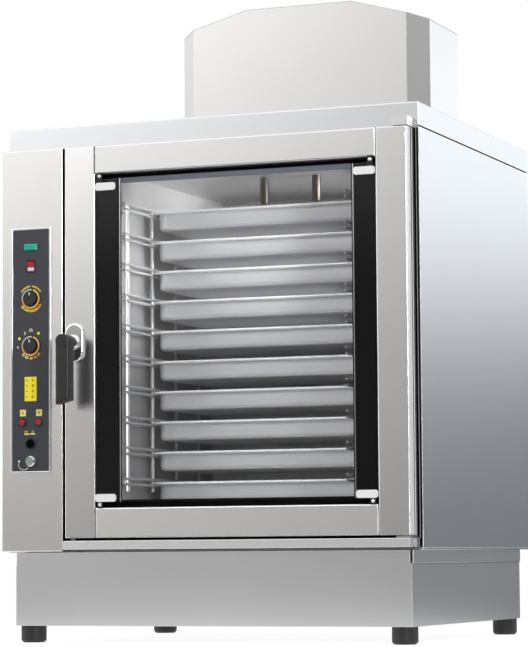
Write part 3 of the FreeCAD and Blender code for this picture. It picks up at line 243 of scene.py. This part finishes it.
def lens(name, dark, light):
    """Ribbed signal lens, a little lit from inside."""
    shader = new_shader(name)
    wave = shader.add("TexWave", {"bands_direction": "X"}, Vector=shader.place(), Scale=120.0, Distortion=0.0)
    ribs = wave.outputs["Fac"]
    return shader.finish(shader.add(
        "BsdfPrincipled", Base_Color=shader.mix(ribs, dark, light),
        Roughness=shader.ramp(ribs, 0.0, 1.0, 0.15, 0.25),
        Emission_Color=light, Emission_Strength=0.12, Normal=shader.bump(ribs, 0.2, 0.0004),
    ))


def ink(name, colour):
    """Screen print: flat ink with a slightly uneven gloss."""
    shader = new_shader(name)
    speck = shader.noise(700.0)
    return shader.finish(shader.add(
        "BsdfPrincipled", Base_Color=shader.mix(speck, colour, paler(colour, 1.12)),
        Roughness=shader.vary(speck, 0.4, 0.55),
    ))


def pane_ink(name, colour):
    """Ink burnt into the back of a pane, with no gloss of its own."""
    shader = new_shader(name)
    patch = shader.noise(8.0, detail=3.0)
    return shader.finish(shader.add(
        "BsdfPrincipled", Base_Color=shader.mix(patch, colour, paler(colour, 1.3)),
        Roughness=0.8, Specular_IOR_Level=0.0,
    ))


FINISHES = {
    "casing_steel": steel("casing_sheet", 0.79, 0.27, "z", warm=-0.025),
    "base_steel": steel("base_sheet", 0.74, 0.32, "x", warm=-0.01),
    "hood_steel": steel("hood_sheet", 0.80, 0.27, "z"),
    "frame_steel": steel("frame_sheet", 0.66, 0.34, "z", warm=0.03, metallic=0.6),
    "door_steel": steel("door_sheet", 0.80, 0.27, "z"),
    "strip_steel": steel("strip_sheet", 0.80, 0.27, "z", warm=0.015),
    "cavity_steel": steel("cavity_sheet", 0.60, 0.34, "z", warm=0.01, metallic=0.5),
    "tray_steel": steel("tray_sheet", 0.88, 0.36, "x", metallic=0.55),
    "wire_steel": steel("rack_wire", 0.72, 0.50, "y", metallic=0.6),
    "tube_steel": steel("ceiling_tube", 0.035, 0.45, "z", warm=0.18),
    "motor_metal": steel("motor_casting", 0.35, 0.45, "y", metallic=0.9),
    "clip_metal": clip_metal(*CLIP_PLATE),
    "hinge_metal": steel("hinge_block", 0.82, 0.14, "x", warm=0.02),
    "bright_chrome": steel("chrome", 0.88, 0.06, "z", streak=0.01),
    "door_glass": glass("door_pane", (0.965, 0.967, 0.972, 1.0)),
    "gasket_rubber": plastic("gasket_rubber", (0.018, 0.018, 0.019, 1.0), 0.62),
    "dark_plastic": plastic("dark_plastic", (0.014, 0.014, 0.016, 1.0), 0.38),
    "foot_plastic": plastic("foot_plastic", (0.008, 0.008, 0.009, 1.0), 0.50),
    "fascia_plastic": plastic("fascia_plastic", (0.036, 0.040, 0.050, 1.0), 0.34, depth=0.0, wear=1.04),
    "green_lens": lens("green_lens", (0.0, 0.22, 0.15, 1.0), (0.02, 0.46, 0.33, 1.0)),
    "red_plastic": plastic("red_plastic", (0.42, 0.004, 0.010, 1.0), 0.28, coat=0.3),
}

INKS = {
    "pane": pane_ink("pane_ink", (0.004, 0.004, 0.005, 1.0)),
    "slate": pane_ink("slate_ink", (0.20, 0.22, 0.26, 1.0)),
    "white": ink("white_ink", (0.86, 0.86, 0.84, 1.0)),
    "yellow": ink("yellow_ink", (1.0, 0.78, 0.01, 1.0)),
    "amber": ink("amber_ink", (1.0, 0.55, 0.05, 1.0)),
    "orange": ink("orange_ink", (1.0, 0.30, 0.03, 1.0)),
    "brown": ink("brown_ink", (0.30, 0.13, 0.01, 1.0)),
    "cream": ink("cream_ink", (0.88, 0.76, 0.48, 1.0)),
    "lemon": ink("lemon_ink", (0.90, 0.80, 0.16, 1.0)),
    "black": ink("black_ink", (0.012, 0.012, 0.012, 1.0)),
}


def dress_nodes():
    """Give every solid its slot's finish and soften the edges of the folded sheets; a few get lighter or
    darker copies of their steel as painted light and shade.
    """
    slot_of = {entry["node"]: entry["material_slot"] for entry in frame["record"]["subparts"]}
    for name, item in nodes.items():
        item.data.materials.clear()
        item.data.materials.append(FINISHES[slot_of[name]])
    edges = {
        0.9: ("base_plinth", "drip_tray", "cabinet_floor", "hood_shell", "hinge_bracket_top",
              "hinge_bracket_bottom", "glass_clips", "latch_keeper"),
        0.5: ("side_panel_left", "side_panel_right", "rear_panel", "hood_roof", "front_frame",
              "rocker_bezel"),
    }
    for width, names in edges.items():
        for name in names:
            soften(nodes[name], width)
    low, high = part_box("rocker")
    own = {
        "rocker": rocker_plastic(low.z + (high.z - low.z) * 0.36),
        "black_button": pane_ink("black_rubber", (0.004, 0.004, 0.004, 1.0)),
        # Painted light: the drip tray gets a lighter copy of the sheet steel.
        "drip_tray": steel("drip_sheet_painted_light", 0.95, 0.27, "x", warm=-0.01, metallic=0.8),
        # Painted shade: the lower hinge block gets a darker copy of the hinge steel.
        "hinge_bracket_bottom": steel("lower_hinge_painted_shade", 0.50, 0.32, "x"),
        # Painted light: the door's bottom rail and left stile get lighter copies of the door steel.
        "door_rail_bottom": steel("lower_rail_painted_light", 0.92, 0.27, "x", metallic=0.92),
        "door_stile_left": steel("left_stile_painted_light", 0.86, 0.22, "z"),
        # Painted shade: the right rack's wires get a darker copy of the wire steel.
        "rack_right": steel("wire_painted_shade", 0.32, 0.34, "y"),
        "handle_escutcheon": steel("escutcheon_chrome", 0.94, 0.12, "z", streak=0.005),
    }
    for name, material in own.items():
        nodes[name].data.materials[0] = material


def soften(item, width):
    """Round the sharp edges of a folded sheet by a width in millimetres."""
    weld = item.modifiers.new("weld", "WELD")
    weld.merge_threshold = 0.00002
    bevel = item.modifiers.new("edge", "BEVEL")
    bevel.width = width * MM
    bevel.segments = 2
    bevel.limit_method = "ANGLE"
    bevel.angle_limit = math.radians(40)
    bevel.harden_normals = True


# Pieces that only the looks need


def finish_piece(name, mesh, body, material):
    """Put a new mesh in the scene, on its body and with its finish."""
    item = bpy.data.objects.new(name, mesh)
    scene.collection.objects.link(item)
    mesh.materials.append(material)
    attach(item, body)


def worked_piece(name, work, body, material):
    """Piece from a working mesh, which is used up."""
    mesh = bpy.data.meshes.new(name)
    work.to_mesh(mesh)
    work.free()
    finish_piece(name, mesh, body, material)


def flat_piece(name, shapes, front, depth, body, material):
    """Thin print or plate facing the front, made of closed shapes of (x, z) points in metres."""
    work = bmesh.new()
    for shape in shapes:
        near = [work.verts.new((x, front, z)) for x, z in shape]
        far = [work.verts.new((x, front + depth, z)) for x, z in shape]
        work.faces.new(near)
        work.faces.new(far[::-1])
        for step in range(len(shape)):
            after = (step + 1) % len(shape)
            work.faces.new((near[after], near[step], far[step], far[after]))
    bmesh.ops.recalc_face_normals(work, faces=work.faces)
    worked_piece(name, work, body, material)


def box_piece(name, low, high, body, material):
    """Thin strip between two corners, for a joint between sheets."""
    work = bmesh.new()
    bmesh.ops.create_cube(work, size=1.0)
    span, middle = Vector(high) - Vector(low), (Vector(high) + Vector(low)) / 2
    stretch = Matrix.Translation(middle) @ Matrix.Diagonal((*span, 1.0))
    bmesh.ops.transform(work, verts=work.verts, matrix=stretch)
    worked_piece(name, work, body, material)


def tube_piece(name, path, radius, sides, body, material):
    """Round bead along a level path, closed at both ends."""
    work = bmesh.new()
    up = Vector((0.0, 0.0, 1.0))
    turns = [2 * math.pi * side / sides for side in range(sides)]
    rings = []
    for step, point in enumerate(path):
        run = (path[min(step + 1, len(path) - 1)] - path[max(step - 1, 0)]).normalized()
        across = run.cross(up)
        rings.append([work.verts.new(point + radius * (math.cos(turn) * across + math.sin(turn) * up))
                      for turn in turns])
    for first, last in zip(rings, rings[1:]):
        for side in range(sides):
            after = (side + 1) % sides
            work.faces.new((first[side], first[after], last[after], last[side])).smooth = True
    work.faces.new(rings[0])
    work.faces.new(rings[-1])
    bmesh.ops.recalc_face_normals(work, faces=work.faces)
    worked_piece(name, work, body, material)


def around(centre, radius, angle):
    """Point at an angle in degrees round a centre."""
    turn = math.radians(angle)
    return (centre[0] + radius * math.cos(turn), centre[1] + radius * math.sin(turn))


def disc(centre, radius, points=24):
    """Round shape."""
    return [around(centre, radius, 360 * step / points) for step in range(points)]


def ring(work, centre, radius, y, points):
    """Points of a working mesh on a circle that faces the front."""
    return [work.verts.new((x, y, z)) for x, z in disc(centre, radius, points)]


def bar(low_x, high_x, low_z, high_z):
    """Upright rectangle between two corners."""
    return [(low_x, low_z), (high_x, low_z), (high_x, high_z), (low_x, high_z)]


def plate(centre, half_width, half_height):
    """Upright rectangle round a centre."""
    x, z = centre
    return bar(x - half_width, x + half_width, z - half_height, z + half_height)


def arc(centre, inner, outer, start, end, steps):
    """Pieces of a ring between two angles in degrees, as a list of four-sided shapes."""
    turn = (end - start) / steps
    shapes = []
    for step in range(steps):
        first, last = start + turn * step, start + turn * (step + 1)
        corners = ((inner, first), (outer, first), (outer, last), (inner, last))
        shapes.append([around(centre, radius, angle) for radius, angle in corners])
    return shapes


def middle_of(name):
    """Centre of a solid seen from the front, as x and z."""
    low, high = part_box(name)
    return ((low.x + high.x) / 2, (low.z + high.z) / 2)


def show_print(name, shapes, colour, lift=0.0):
    """Flat print on the fascia, lifted a little more where it lies on another print."""
    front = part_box("fascia_panel")[0].y - PRINT_LIFT - lift
    flat_piece(name, shapes, front, PRINT_DEPTH, "cabinet", INKS[colour])


def show_number(name, text, centre, colour, tilt):
    """Plain bold number printed on the fascia, tilted by an angle in degrees."""
    words = bpy.data.curves.new(name, "FONT")
    words.body = text
    words.size = NUMBER_HEIGHT * 1.35
    words.align_x = "CENTER"
    words.align_y = "CENTER"
    words.extrude = 0.0001
    words.offset = NUMBER_HEIGHT * 0.06
    draft = bpy.data.objects.new(f"{name}_draft", words)
    scene.collection.objects.link(draft)
    bpy.context.view_layer.update()
    mesh = bpy.data.meshes.new_from_object(draft.evaluated_get(bpy.context.evaluated_depsgraph_get()))
    bpy.data.objects.remove(draft)
    mesh.name = name
    mesh.materials.clear()
    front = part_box("fascia_panel")[0].y - PRINT_LIFT
    turn = Matrix.Rotation(math.radians(90), 4, "X") @ Matrix.Rotation(math.radians(tilt), 4, "Z")
    mesh.transform(Matrix.Translation((centre[0], front, centre[1])) @ turn)
    finish_piece(name, mesh, "cabinet", INKS[colour])


def strokes(centre, inner, outer, start, end, count):
    """Row of strokes round a centre between two angles in degrees, every third one short."""
    step = (end - start) / count
    shapes = []
    for number in range(count):
        angle = start + step * (number + 0.5)
        reach = outer if number % 3 else inner + (outer - inner) * 0.72
        shapes += arc(centre, inner, reach, angle - step * 0.3, angle + step * 0.3, 1)
    return shapes


def make_scales():
    """Strokes, plain numbers and signs round the two knobs."""
    upper, lower = middle_of("knob_upper"), middle_of("knob_lower")
    for side, start, end in (("left", 148, 94), ("right", 86, 32)):
        show_print(f"scale_upper_{side}", strokes(upper, 0.0262, 0.0302, start, end, 12), "yellow")
    scales = {
        "temperature": (upper, (("50", -138, "yellow"), ("100", -115, "yellow"), ("150", -90, "yellow"),
                                ("200", -65, "amber"), ("250", -41, "orange"))),
        "minutes": (lower, (("10", -135, "cream"), ("20", -113, "cream"), ("30", -90, "amber"),
                            ("40", -67, "orange"), ("50", -45, "orange"))),
    }
    for scale, (centre, marks) in scales.items():
        for text, angle, colour in marks:
            show_number(f"{scale}_{text}", text, around(centre, NUMBER_RADIUS, angle), colour, angle + 90)
    signs = [[around(around(lower, 0.0335, angle), 0.0038, corner) for corner in (18, 90, 162, 234, 306)]
             for angle in (149, 56)]
    show_print("mode_signs", signs, "yellow")
    show_print("mode_stroke", [plate(around(lower, 0.0325, 117), 0.0010, 0.0038)], "cream")
    show_print("mode_ring", arc(around(lower, 0.0345, 90), 0.0022, 0.0042, -60, 240, 14), "cream")
    show_print("mode_dot", [disc(around(lower, 0.0325, 184), 0.0022)], "cream")


def make_label():
    """Yellow label with four rows of a dot and a sign, and a dark dot under it."""
    left, right, low, high = -0.4232, -0.3938, 0.5336, 0.5878
    show_print("yellow_label", [bar(left, right, low, high)], "yellow")
    rows = [high - (high - low) * (step + 0.6) / 4.4 for step in range(4)]
    show_print("label_dots", [disc((left + 0.0055, z), 0.0016) for z in rows], "black", PRINT_LIFT)
    signs = [shape for z in rows for shape in arc((right - 0.0090, z), 0.0012, 0.0030, 20, 340, 10)]
    show_print("label_signs", signs, "brown", PRINT_LIFT)
    show_print("sensor_dot", [disc((-0.386, 0.522), 0.0020)], "black", PRINT_LIFT / 2)


def make_button_marks():
    """Squares with three lines above the red buttons, and lines and ticks above the black one."""
    for side in ("left", "right"):
        x, z = middle_of(f"red_button_{side}")[0], 0.5075
        show_print(f"button_square_{side}", [plate((x, z), 0.0072, 0.0072)], "lemon")
        rows = [plate((x, z + rise), 0.0035, 0.0007) for rise in (-0.0026, 0.0, 0.0026)]
        show_print(f"button_mark_{side}", rows, "brown", PRINT_LIFT)
    show_print("probe_line_left", [bar(-0.4240, -0.4120, 0.4590, 0.4618)], "lemon")
    show_print("probe_line_right", [bar(-0.4095, -0.3975, 0.4594, 0.4622)], "cream")
    ticks = (-0.4225, -0.4195, -0.4165, -0.4045, -0.4015)
    show_print("probe_ticks", [bar(x - 0.0008, x + 0.0008, 0.4642, 0.4676) for x in ticks], "amber")


def make_dials():
    """Ring printed on each knob's skirt, with pale dashes at its upper left, and the white pointer."""
    skirt_height, rim, ring_width = 0.0026, 0.0013, 0.0034
    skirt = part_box("fascia_panel")[0].y - skirt_height
    for label in ("upper", "lower"):
        low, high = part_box(f"knob_{label}")
        centre = middle_of(f"knob_{label}")
        x, z = centre
        outer = (high.x - low.x) / 2 - rim
        inner = outer - ring_width
        dashes = [shape for angle in range(84, 178, 13)
                  for shape in arc(centre, inner, outer, angle, angle + 7, 2)]
        pieces = (
            ("dial_ring", arc(centre, inner, outer, -175, 72, 40), skirt, "amber"),
            ("dial_dashes", dashes, skirt, "white"),
            ("pointer", [bar(x - 0.0010, x + 0.0010, z + 0.0072, z + 0.0138)], low.y, "white"),
        )
        for kind, shapes, face, colour in pieces:
            flat_piece(f"{kind}_{label}", shapes, face - PRINT_LIFT, 0.0005, f"knob_{label}_body",
                       INKS[colour])


def make_chain():
    """Bead chain that keeps the probe socket's cap, from a small stud on the fascia."""
    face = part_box("fascia_panel")[0].y
    centre = middle_of("probe_cap")
    guide = ((-28.2, 0.0), (-30.3, -9.4), (-25.4, -16.7), (-15.9, -19.6), (-8.1, -16.7), (-5.5, -13.4))
    points = [Vector((centre[0] + x * MM, face - 0.0016, centre[1] + z * MM)) for x, z in guide]
    pace, paces_per_bead = 0.0004, 6
    line = []
    for first, last in zip(points, points[1:]):
        run = (last - first).length
        line += [first.lerp(last, step * pace / run) for step in range(int(run / pace))]
    work = bmesh.new()
    for spot in line[::paces_per_bead]:
        bmesh.ops.create_uvsphere(work, u_segments=10, v_segments=8, radius=0.0011,
                                  matrix=Matrix.Translation(spot))
    stud = Matrix.Translation(points[0]) @ Matrix.Diagonal((1.0, 0.7, 1.0, 1.0))
    bmesh.ops.create_uvsphere(work, u_segments=16, v_segments=10, radius=0.0026, matrix=stud)
    for side in work.faces:
        side.smooth = True
    worked_piece("bead_chain", work, "cabinet", FINISHES["bright_chrome"])


def make_glass_bands():
    """Dark printed bands on the panes, with a light and a dark line beside those of the outer pane; the inner
    pane's top strip is black as painted shade.
    """
    low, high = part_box("door_glass_outer")
    spans = {
        "band_left": (low.x, -0.196),
        "pale_line_left": (-0.196, -0.1935),
        "dark_line_left": (-0.1935, -0.191),
        "band_right": (0.355, high.x),
        "pale_line_right": (0.3525, 0.355),
        "dark_line_right": (0.350, 0.3525),
    }
    for kind, (first, last) in spans.items():
        finish = FINISHES["hinge_metal"] if kind.startswith("pale") else INKS["pane"]
        flat_piece(f"glass_{kind}", [bar(first, last, low.z, high.z)], high.y + 0.0001, BAND_DEPTH,
                   "door", finish)
    low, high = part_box("door_glass_inner")
    inner_prints_and_shade = {
        # Painted shade: the top strip is black, not slate, for the shade under the door's top rail.
        "top": (1.0265, high.z, "pane"),
        "edge": (1.0150, 1.0265, "slate"),
        "bottom": (low.z, 0.313, "pane"),
    }
    for end, (first, last, colour) in inner_prints_and_shade.items():
        flat_piece(f"inner_band_{end}", [bar(low.x, high.x, first, last)], low.y - 0.0007, BAND_DEPTH,
                   "door", INKS[colour])


def make_door_lines():
    """Dark joints between the door's bars, and along its sides dark lines and bright lines that are painted
    highlights.
    """
    half, thin, inset = 0.0009, 0.0002, 0.001
    for end in ("top", "bottom"):
        low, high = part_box(f"door_rail_{end}")
        for side, x in (("left", low.x), ("right", high.x)):
            flat_piece(f"door_joint_{end}_{side}", [bar(x - half, x + half, low.z, high.z)], low.y + 0.0002,
                       0.0004, "door", INKS["pane"])
    low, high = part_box("door_stile_left")[0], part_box("door_stile_right")[1]
    # Painted highlight: near-white, barely metallic strips on the door's sides.
    bright = steel("door_side_painted_highlight", 0.95, 0.25, "z", metallic=0.2)
    lines = (
        ("trim", bright, ((-0.3905, -0.3800), (-0.3755, -0.3685), (-0.3635, -0.3558))),
        ("joint", INKS["pane"], ((-0.3685, -0.3635), (-0.3558, -0.3512))),
    )
    for side, x in (("left", low.x - thin), ("right", high.x)):
        for kind, material, spans in lines:
            for number, (first, last) in enumerate(spans, 1):
                box_piece(f"door_side_{kind}_{side}_{number}", (x, first, low.z + inset),
                          (x + thin, last, high.z - inset), "door", material)


def make_dark_strips():
    """Dark strips: on the front frame beside and under the door they are painted shade in the gaps, and one
    more lies on the control strip's side.
    """
    thin, inset = 0.0002, 0.002
    low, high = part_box("control_strip")
    box_piece("strip_seal", (high.x, low.y + inset, low.z + inset), (high.x + thin, -0.360, high.z - inset),
              "cabinet", INKS["pane"])
    sill, lintel = 0.2235, 1.0980
    # Painted shade: black strips in the gaps beside and under the door.
    shade_strips = [
        bar(0.4805, 0.4872, 0.2035, sill),
        bar(0.4765, 0.4815, sill, lintel),
        bar(0.4832, 0.4872, sill, lintel),
        bar(-0.3250, 0.4445, sill, 0.2400),
    ]
    flat_piece("frame_painted_shade", shade_strips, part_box("front_frame")[0].y - 0.0004, 0.0003,
               "cabinet", INKS["pane"])


def make_base_shadow_lines():
    """Painted shadow: dark lines under the plinth's lapped rims."""
    thin, rim_height, recess = 0.0002, 0.028, 0.002
    low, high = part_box("base_plinth")
    rim = high.z - rim_height
    for side, x in (("left", low.x + recess - thin), ("right", high.x - recess)):
        # Black strip painted as the shadow under each rim.
        box_piece(f"base_painted_shadow_{side}", (x, low.y + 0.006, rim - 0.0016), (x + thin, high.y, rim),
                  "cabinet", INKS["pane"])


def make_beads():
    """Rolled bead along the front lip of each tray, clear of the rack's wires at both ends, near-white as a
    painted highlight.
    """
    radius, sides, clear, corner, steps = 0.0034, 12, 0.010, 0.043, 6
    # Painted highlight: near-white, barely metallic steel makes each bead a bright line.
    painted_highlight_finish = steel("bead_painted_highlight", 0.98, 0.20, "x", metallic=0.15)
    sweep = math.asin((corner - clear) / corner)
    angles = [sweep * step / steps for step in range(steps + 1)]
    for number in TRAY_NUMBERS:
        low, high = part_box(f"tray_{number:02d}")
        left = [(low.x + corner - corner * math.sin(angle), low.y + corner - corner * math.cos(angle))
                for angle in reversed(angles)]
        right = [(low.x + high.x - x, y) for x, y in reversed(left)]
        path = [Vector((x, y, high.z - 0.0006)) for x, y in left + right]
        tube_piece(f"tray_bead_{number:02d}", path, radius, sides, f"tray_{number:02d}_body",
                   painted_highlight_finish)


def make_clip_pins():
    """Domed bright pins in the slots above and below the outer pane."""
    low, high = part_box("glass_clips")
    pane_low, pane_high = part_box("door_glass_outer")
    across, along, radius, tip_lift, points = 0.012, 0.0065, 0.0042, 0.0018, 20
    profile = ((0.4, 0.0016), (0.75, 0.0010), (1.0, 0.0), (1.0, -0.0004))
    for end, z in (("top", high.z - along), ("bottom", low.z + along)):
        for side, x in (("left", pane_low.x + across), ("right", pane_high.x - across)):
            work = bmesh.new()
            rings = [ring(work, (x, z), radius * share, low.y - lift, points) for share, lift in profile]
            tip = work.verts.new((x, low.y - tip_lift, z))
            for step in range(points):
                after = (step + 1) % points
                work.faces.new((tip, rings[0][step], rings[0][after]))
                for inner, outer in zip(rings, rings[1:]):
                    work.faces.new((inner[step], outer[step], outer[after], inner[after]))
            work.faces.new(rings[-1][::-1])
            bmesh.ops.recalc_face_normals(work, faces=work.faces)
            for face in work.faces:
                face.smooth = True
            worked_piece(f"clip_pin_{end}_{side}", work, "door", FINISHES["bright_chrome"])


def make_collar():
    """Bright collar on the neck of the lever, before its oval plate."""
    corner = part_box("handle_escutcheon")[0]
    centre = (corner.x + 0.022, middle_of("handle_escutcheon")[1])
    back, points = corner.y - 0.0004, 40
    profile = ((0.0118, 0.0), (0.0170, 0.0), (0.0170, 0.0030), (0.0160, 0.0048),
               (0.0140, 0.0058), (0.0140, 0.0100), (0.0132, 0.0108), (0.0118, 0.0108))
    work = bmesh.new()
    rings = [ring(work, centre, radius, back - lift, points) for radius, lift in profile]
    for near, far in zip(rings, rings[1:] + rings[:1]):
        for step in range(points):
            after = (step + 1) % points
            work.faces.new((near[step], near[after], far[after], far[step]))
    bmesh.ops.recalc_face_normals(work, faces=work.faces)
    worked_piece("neck_collar", work, "handle", FINISHES["bright_chrome"])


# Camera, light and stage


def make_camera():
    """Camera fitted to the photograph's straight edges."""
    yaw, pitch, roll = (math.radians(angle) for angle in CAMERA_ANGLES)
    ahead = Vector((-math.sin(yaw) * math.cos(pitch), math.cos(yaw) * math.cos(pitch), math.sin(pitch)))
    right = Vector((math.cos(yaw), math.sin(yaw), 0.0))
    up = right.cross(ahead)
    across = right * math.cos(roll) + up * math.sin(roll)
    above = up * math.cos(roll) - right * math.sin(roll)
    data = bpy.data.cameras.new("camera")
    data.sensor_fit = "VERTICAL"
    data.sensor_height = SENSOR_HEIGHT
    data.lens = FOCAL_PIXELS * SENSOR_HEIGHT / IMAGE_HEIGHT
    data.clip_end = 100.0
    camera = bpy.data.objects.new("camera", data)
    matrix = Matrix((across, above, -ahead)).transposed().to_4x4()
    matrix.translation = CAMERA_PLACE
    camera.matrix_world = matrix
    scene.collection.objects.link(camera)
    scene.camera = camera


def make_world():
    """Studio round the oven: bright walls above a dim skirting, duller ahead and to the right."""
    world = bpy.data.worlds.new("studio")
    scene.world = world
    shader = Shader(world, "OutputWorld")
    way = shader.add("SeparateXYZ", Vector=shader.add("TexCoord").outputs["Generated"])
    x, y, z = (way.outputs[axis] for axis in ("X", "Y", "Z"))

    def rise(value, low, high):
        """From nought to one, with soft ends."""
        return shader.ramp(value, low, high, 0.0, 1.0, smooth=True)

    def step(value, low, high):
        """From nought to one in a straight line."""
        return shader.ramp(value, low, high, 0.0, 1.0)

    # Parts of the room by direction: the front half, its far left, and the dull part from there to the right
    ahead = rise(y, 0.1, -0.4)
    left = rise(x, -0.6, -0.9)
    dull = shader.product(rise(x, -0.60, -0.13), rise(y, -0.05, -0.35))
    # Skirting, walls and ceiling
    skirting = shader.mix(ahead, (0.155, 0.16, 0.17, 1.0),
                          shader.mix(dull, (0.40, 0.39, 0.38, 1.0), rgb(0.04)))
    behind = shader.mix(step(z, 0.165, 0.19), (1.38, 1.41, 1.45, 1.0), (1.06, 1.09, 1.13, 1.0))
    wall = shader.mix(left, shader.mix(ahead, behind, (2.84, 2.82, 2.80, 1.0)), (0.96, 0.95, 0.94, 1.0))
    wall = shader.mix(dull, wall, (0.14, 0.13, 0.12, 1.0))
    sky = shader.mix(dull, shader.mix(ahead, rgb(0.55), rgb(1.5)), rgb(1.1))
    room = shader.mix(shader.mix(ahead, rise(z, 0.05, 0.137), rise(z, 0.088, 0.20)), skirting, wall)
    room = shader.mix(rise(z, 0.30, 0.45), room, sky)
    room = shader.mix(rise(z, 0.50, 0.70), room, rgb(1.2))
    # Grey panel straight ahead, so that the front doesn't look black from there
    panel = shader.product(rise(x, -0.20, 0.0), shader.ramp(x, 0.42, 0.60, 1.0, 0.0, smooth=True),
                           rise(y, -0.5, -0.8), shader.ramp(z, 0.30, 0.45, 1.0, 0.0, smooth=True))
    room = shader.mix(panel, room, rgb(0.45))
    # Narrow bright strips at the far left and the far right
    left_strip = shader.product(step(x, -0.82, -0.90), step(y, 0.08, 0.0))
    right_strip = shader.product(step(x, 0.84, 0.90), step(y, 0.04, 0.14))
    level = shader.product(step(z, -0.25, -0.10), shader.ramp(z, 0.145, 0.16, 1.0, 0.0))
    room = shader.mix(shader.product(level, shader.math("ADD", left_strip, right_strip)), room, rgb(2.2))
    backdrop = shader.seen("Is Camera Ray", "Is Transmission Ray")
    shader.finish(shader.add("Background", Color=shader.mix(backdrop, room, rgb(1.0)), Strength=1.0))


def make_lamp(name, place, target, width, height, power, spread):
    """Soft oblong lamp aimed at a point, with its beam's spread in degrees."""
    data = bpy.data.lights.new(name, "AREA")
    data.shape = "RECTANGLE"
    data.size = width
    data.size_y = height
    data.energy = power
    data.spread = math.radians(spread)
    lamp = bpy.data.objects.new(name, data)
    lamp.location = place
    lamp.rotation_euler = (Vector(target) - Vector(place)).to_track_quat("-Z", "Y").to_euler()
    scene.collection.objects.link(lamp)


def make_lamps():
    """Two lamps outside, and weak ones in the cavity for the oven's own light."""
    lamps = {  # place, target, width, height, power in watts, spread
        "key_lamp": ((3.2, -3.2, 1.4), (-0.4, -0.4, 0.65), 0.8, 0.8, 5.0, 50),
        "low_softbox": ((1.25, -1.75, 0.18), (-0.05, 0.0, 0.72), 0.50, 0.30, 0.4, 60),
        "wall_lamp": ((0.33, -0.275, 0.85), (-0.234, -0.22, 0.85), 0.03, 0.26, 0.36, 44),
        "ceiling_lamp": ((0.31, 0.02, 1.022), (-0.234, 0.02, 1.005), 0.40, 0.02, 0.52, 40),
        "mouth_lamp_left": ((-0.226, -0.30, 0.665), (0.05, -0.197, 0.665), 0.02, 0.72, 0.09, 80),
        "mouth_lamp_right": ((0.332, -0.30, 0.665), (0.05, -0.197, 0.665), 0.02, 0.72, 0.03, 80),
        "mouth_lamp": ((TRAY_MIDDLE, -0.345, 0.68), (TRAY_MIDDLE, 0.0, 0.68), 0.56, 0.72, 0.075, 60),
    }
    for name, settings in lamps.items():
        make_lamp(name, *settings)
    lips = {number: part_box(f"tray_{number:02d}")[1].z for number in TRAY_NUMBERS}
    for number, lip in lips.items():
        make_lamp(f"bead_lamp_{number:02d}", (TRAY_MIDDLE, -0.232, lip + 0.055), (TRAY_MIDDLE, -0.199, lip),
                  0.50, 0.006, 0.015, 50)
    for number, power in ((9, 0.06), (8, 0.07), (7, 0.065), (6, 0.04)):
        z = lips[number] - 0.004
        make_lamp(f"tray_lamp_{number}", (-0.03, 0.03, z), (-0.03, 0.03, z + 0.1), 0.40, 0.18, power, 170)


def make_floor():
    """Round pale floor that shows white to the eye, in mirrors and through glass."""
    shader = new_shader("floor_paint")
    backdrop = shader.seen("Is Camera Ray", "Is Transmission Ray", "Is Glossy Ray")
    mottle = shader.noise(3.0)
    paint = shader.finish(shader.add(
        "BsdfPrincipled", Base_Color=shader.mix(mottle, rgb(0.297), rgb(0.303)),
        Roughness=0.9, Specular_IOR_Level=0.0,
        Emission_Color=rgb(1.0), Emission_Strength=shader.product(backdrop, FLOOR_GLOW),
    ))
    mesh = bpy.data.meshes.new("floor")
    work = bmesh.new()
    bmesh.ops.create_circle(work, cap_ends=True, radius=FLOOR_RADIUS, segments=96)
    work.to_mesh(mesh)
    work.free()
    mesh.materials.append(paint)
    floor = bpy.data.objects.new("floor", mesh)
    scene.collection.objects.link(floor)


dress_nodes()
make_scales()
make_label()
make_button_marks()
make_dials()
make_chain()
make_glass_bands()
make_door_lines()
make_dark_strips()
make_base_shadow_lines()
make_beads()
make_clip_pins()
make_collar()
make_world()
make_floor()
make_camera()
make_lamps()
scene.view_settings.view_transform = "Standard"
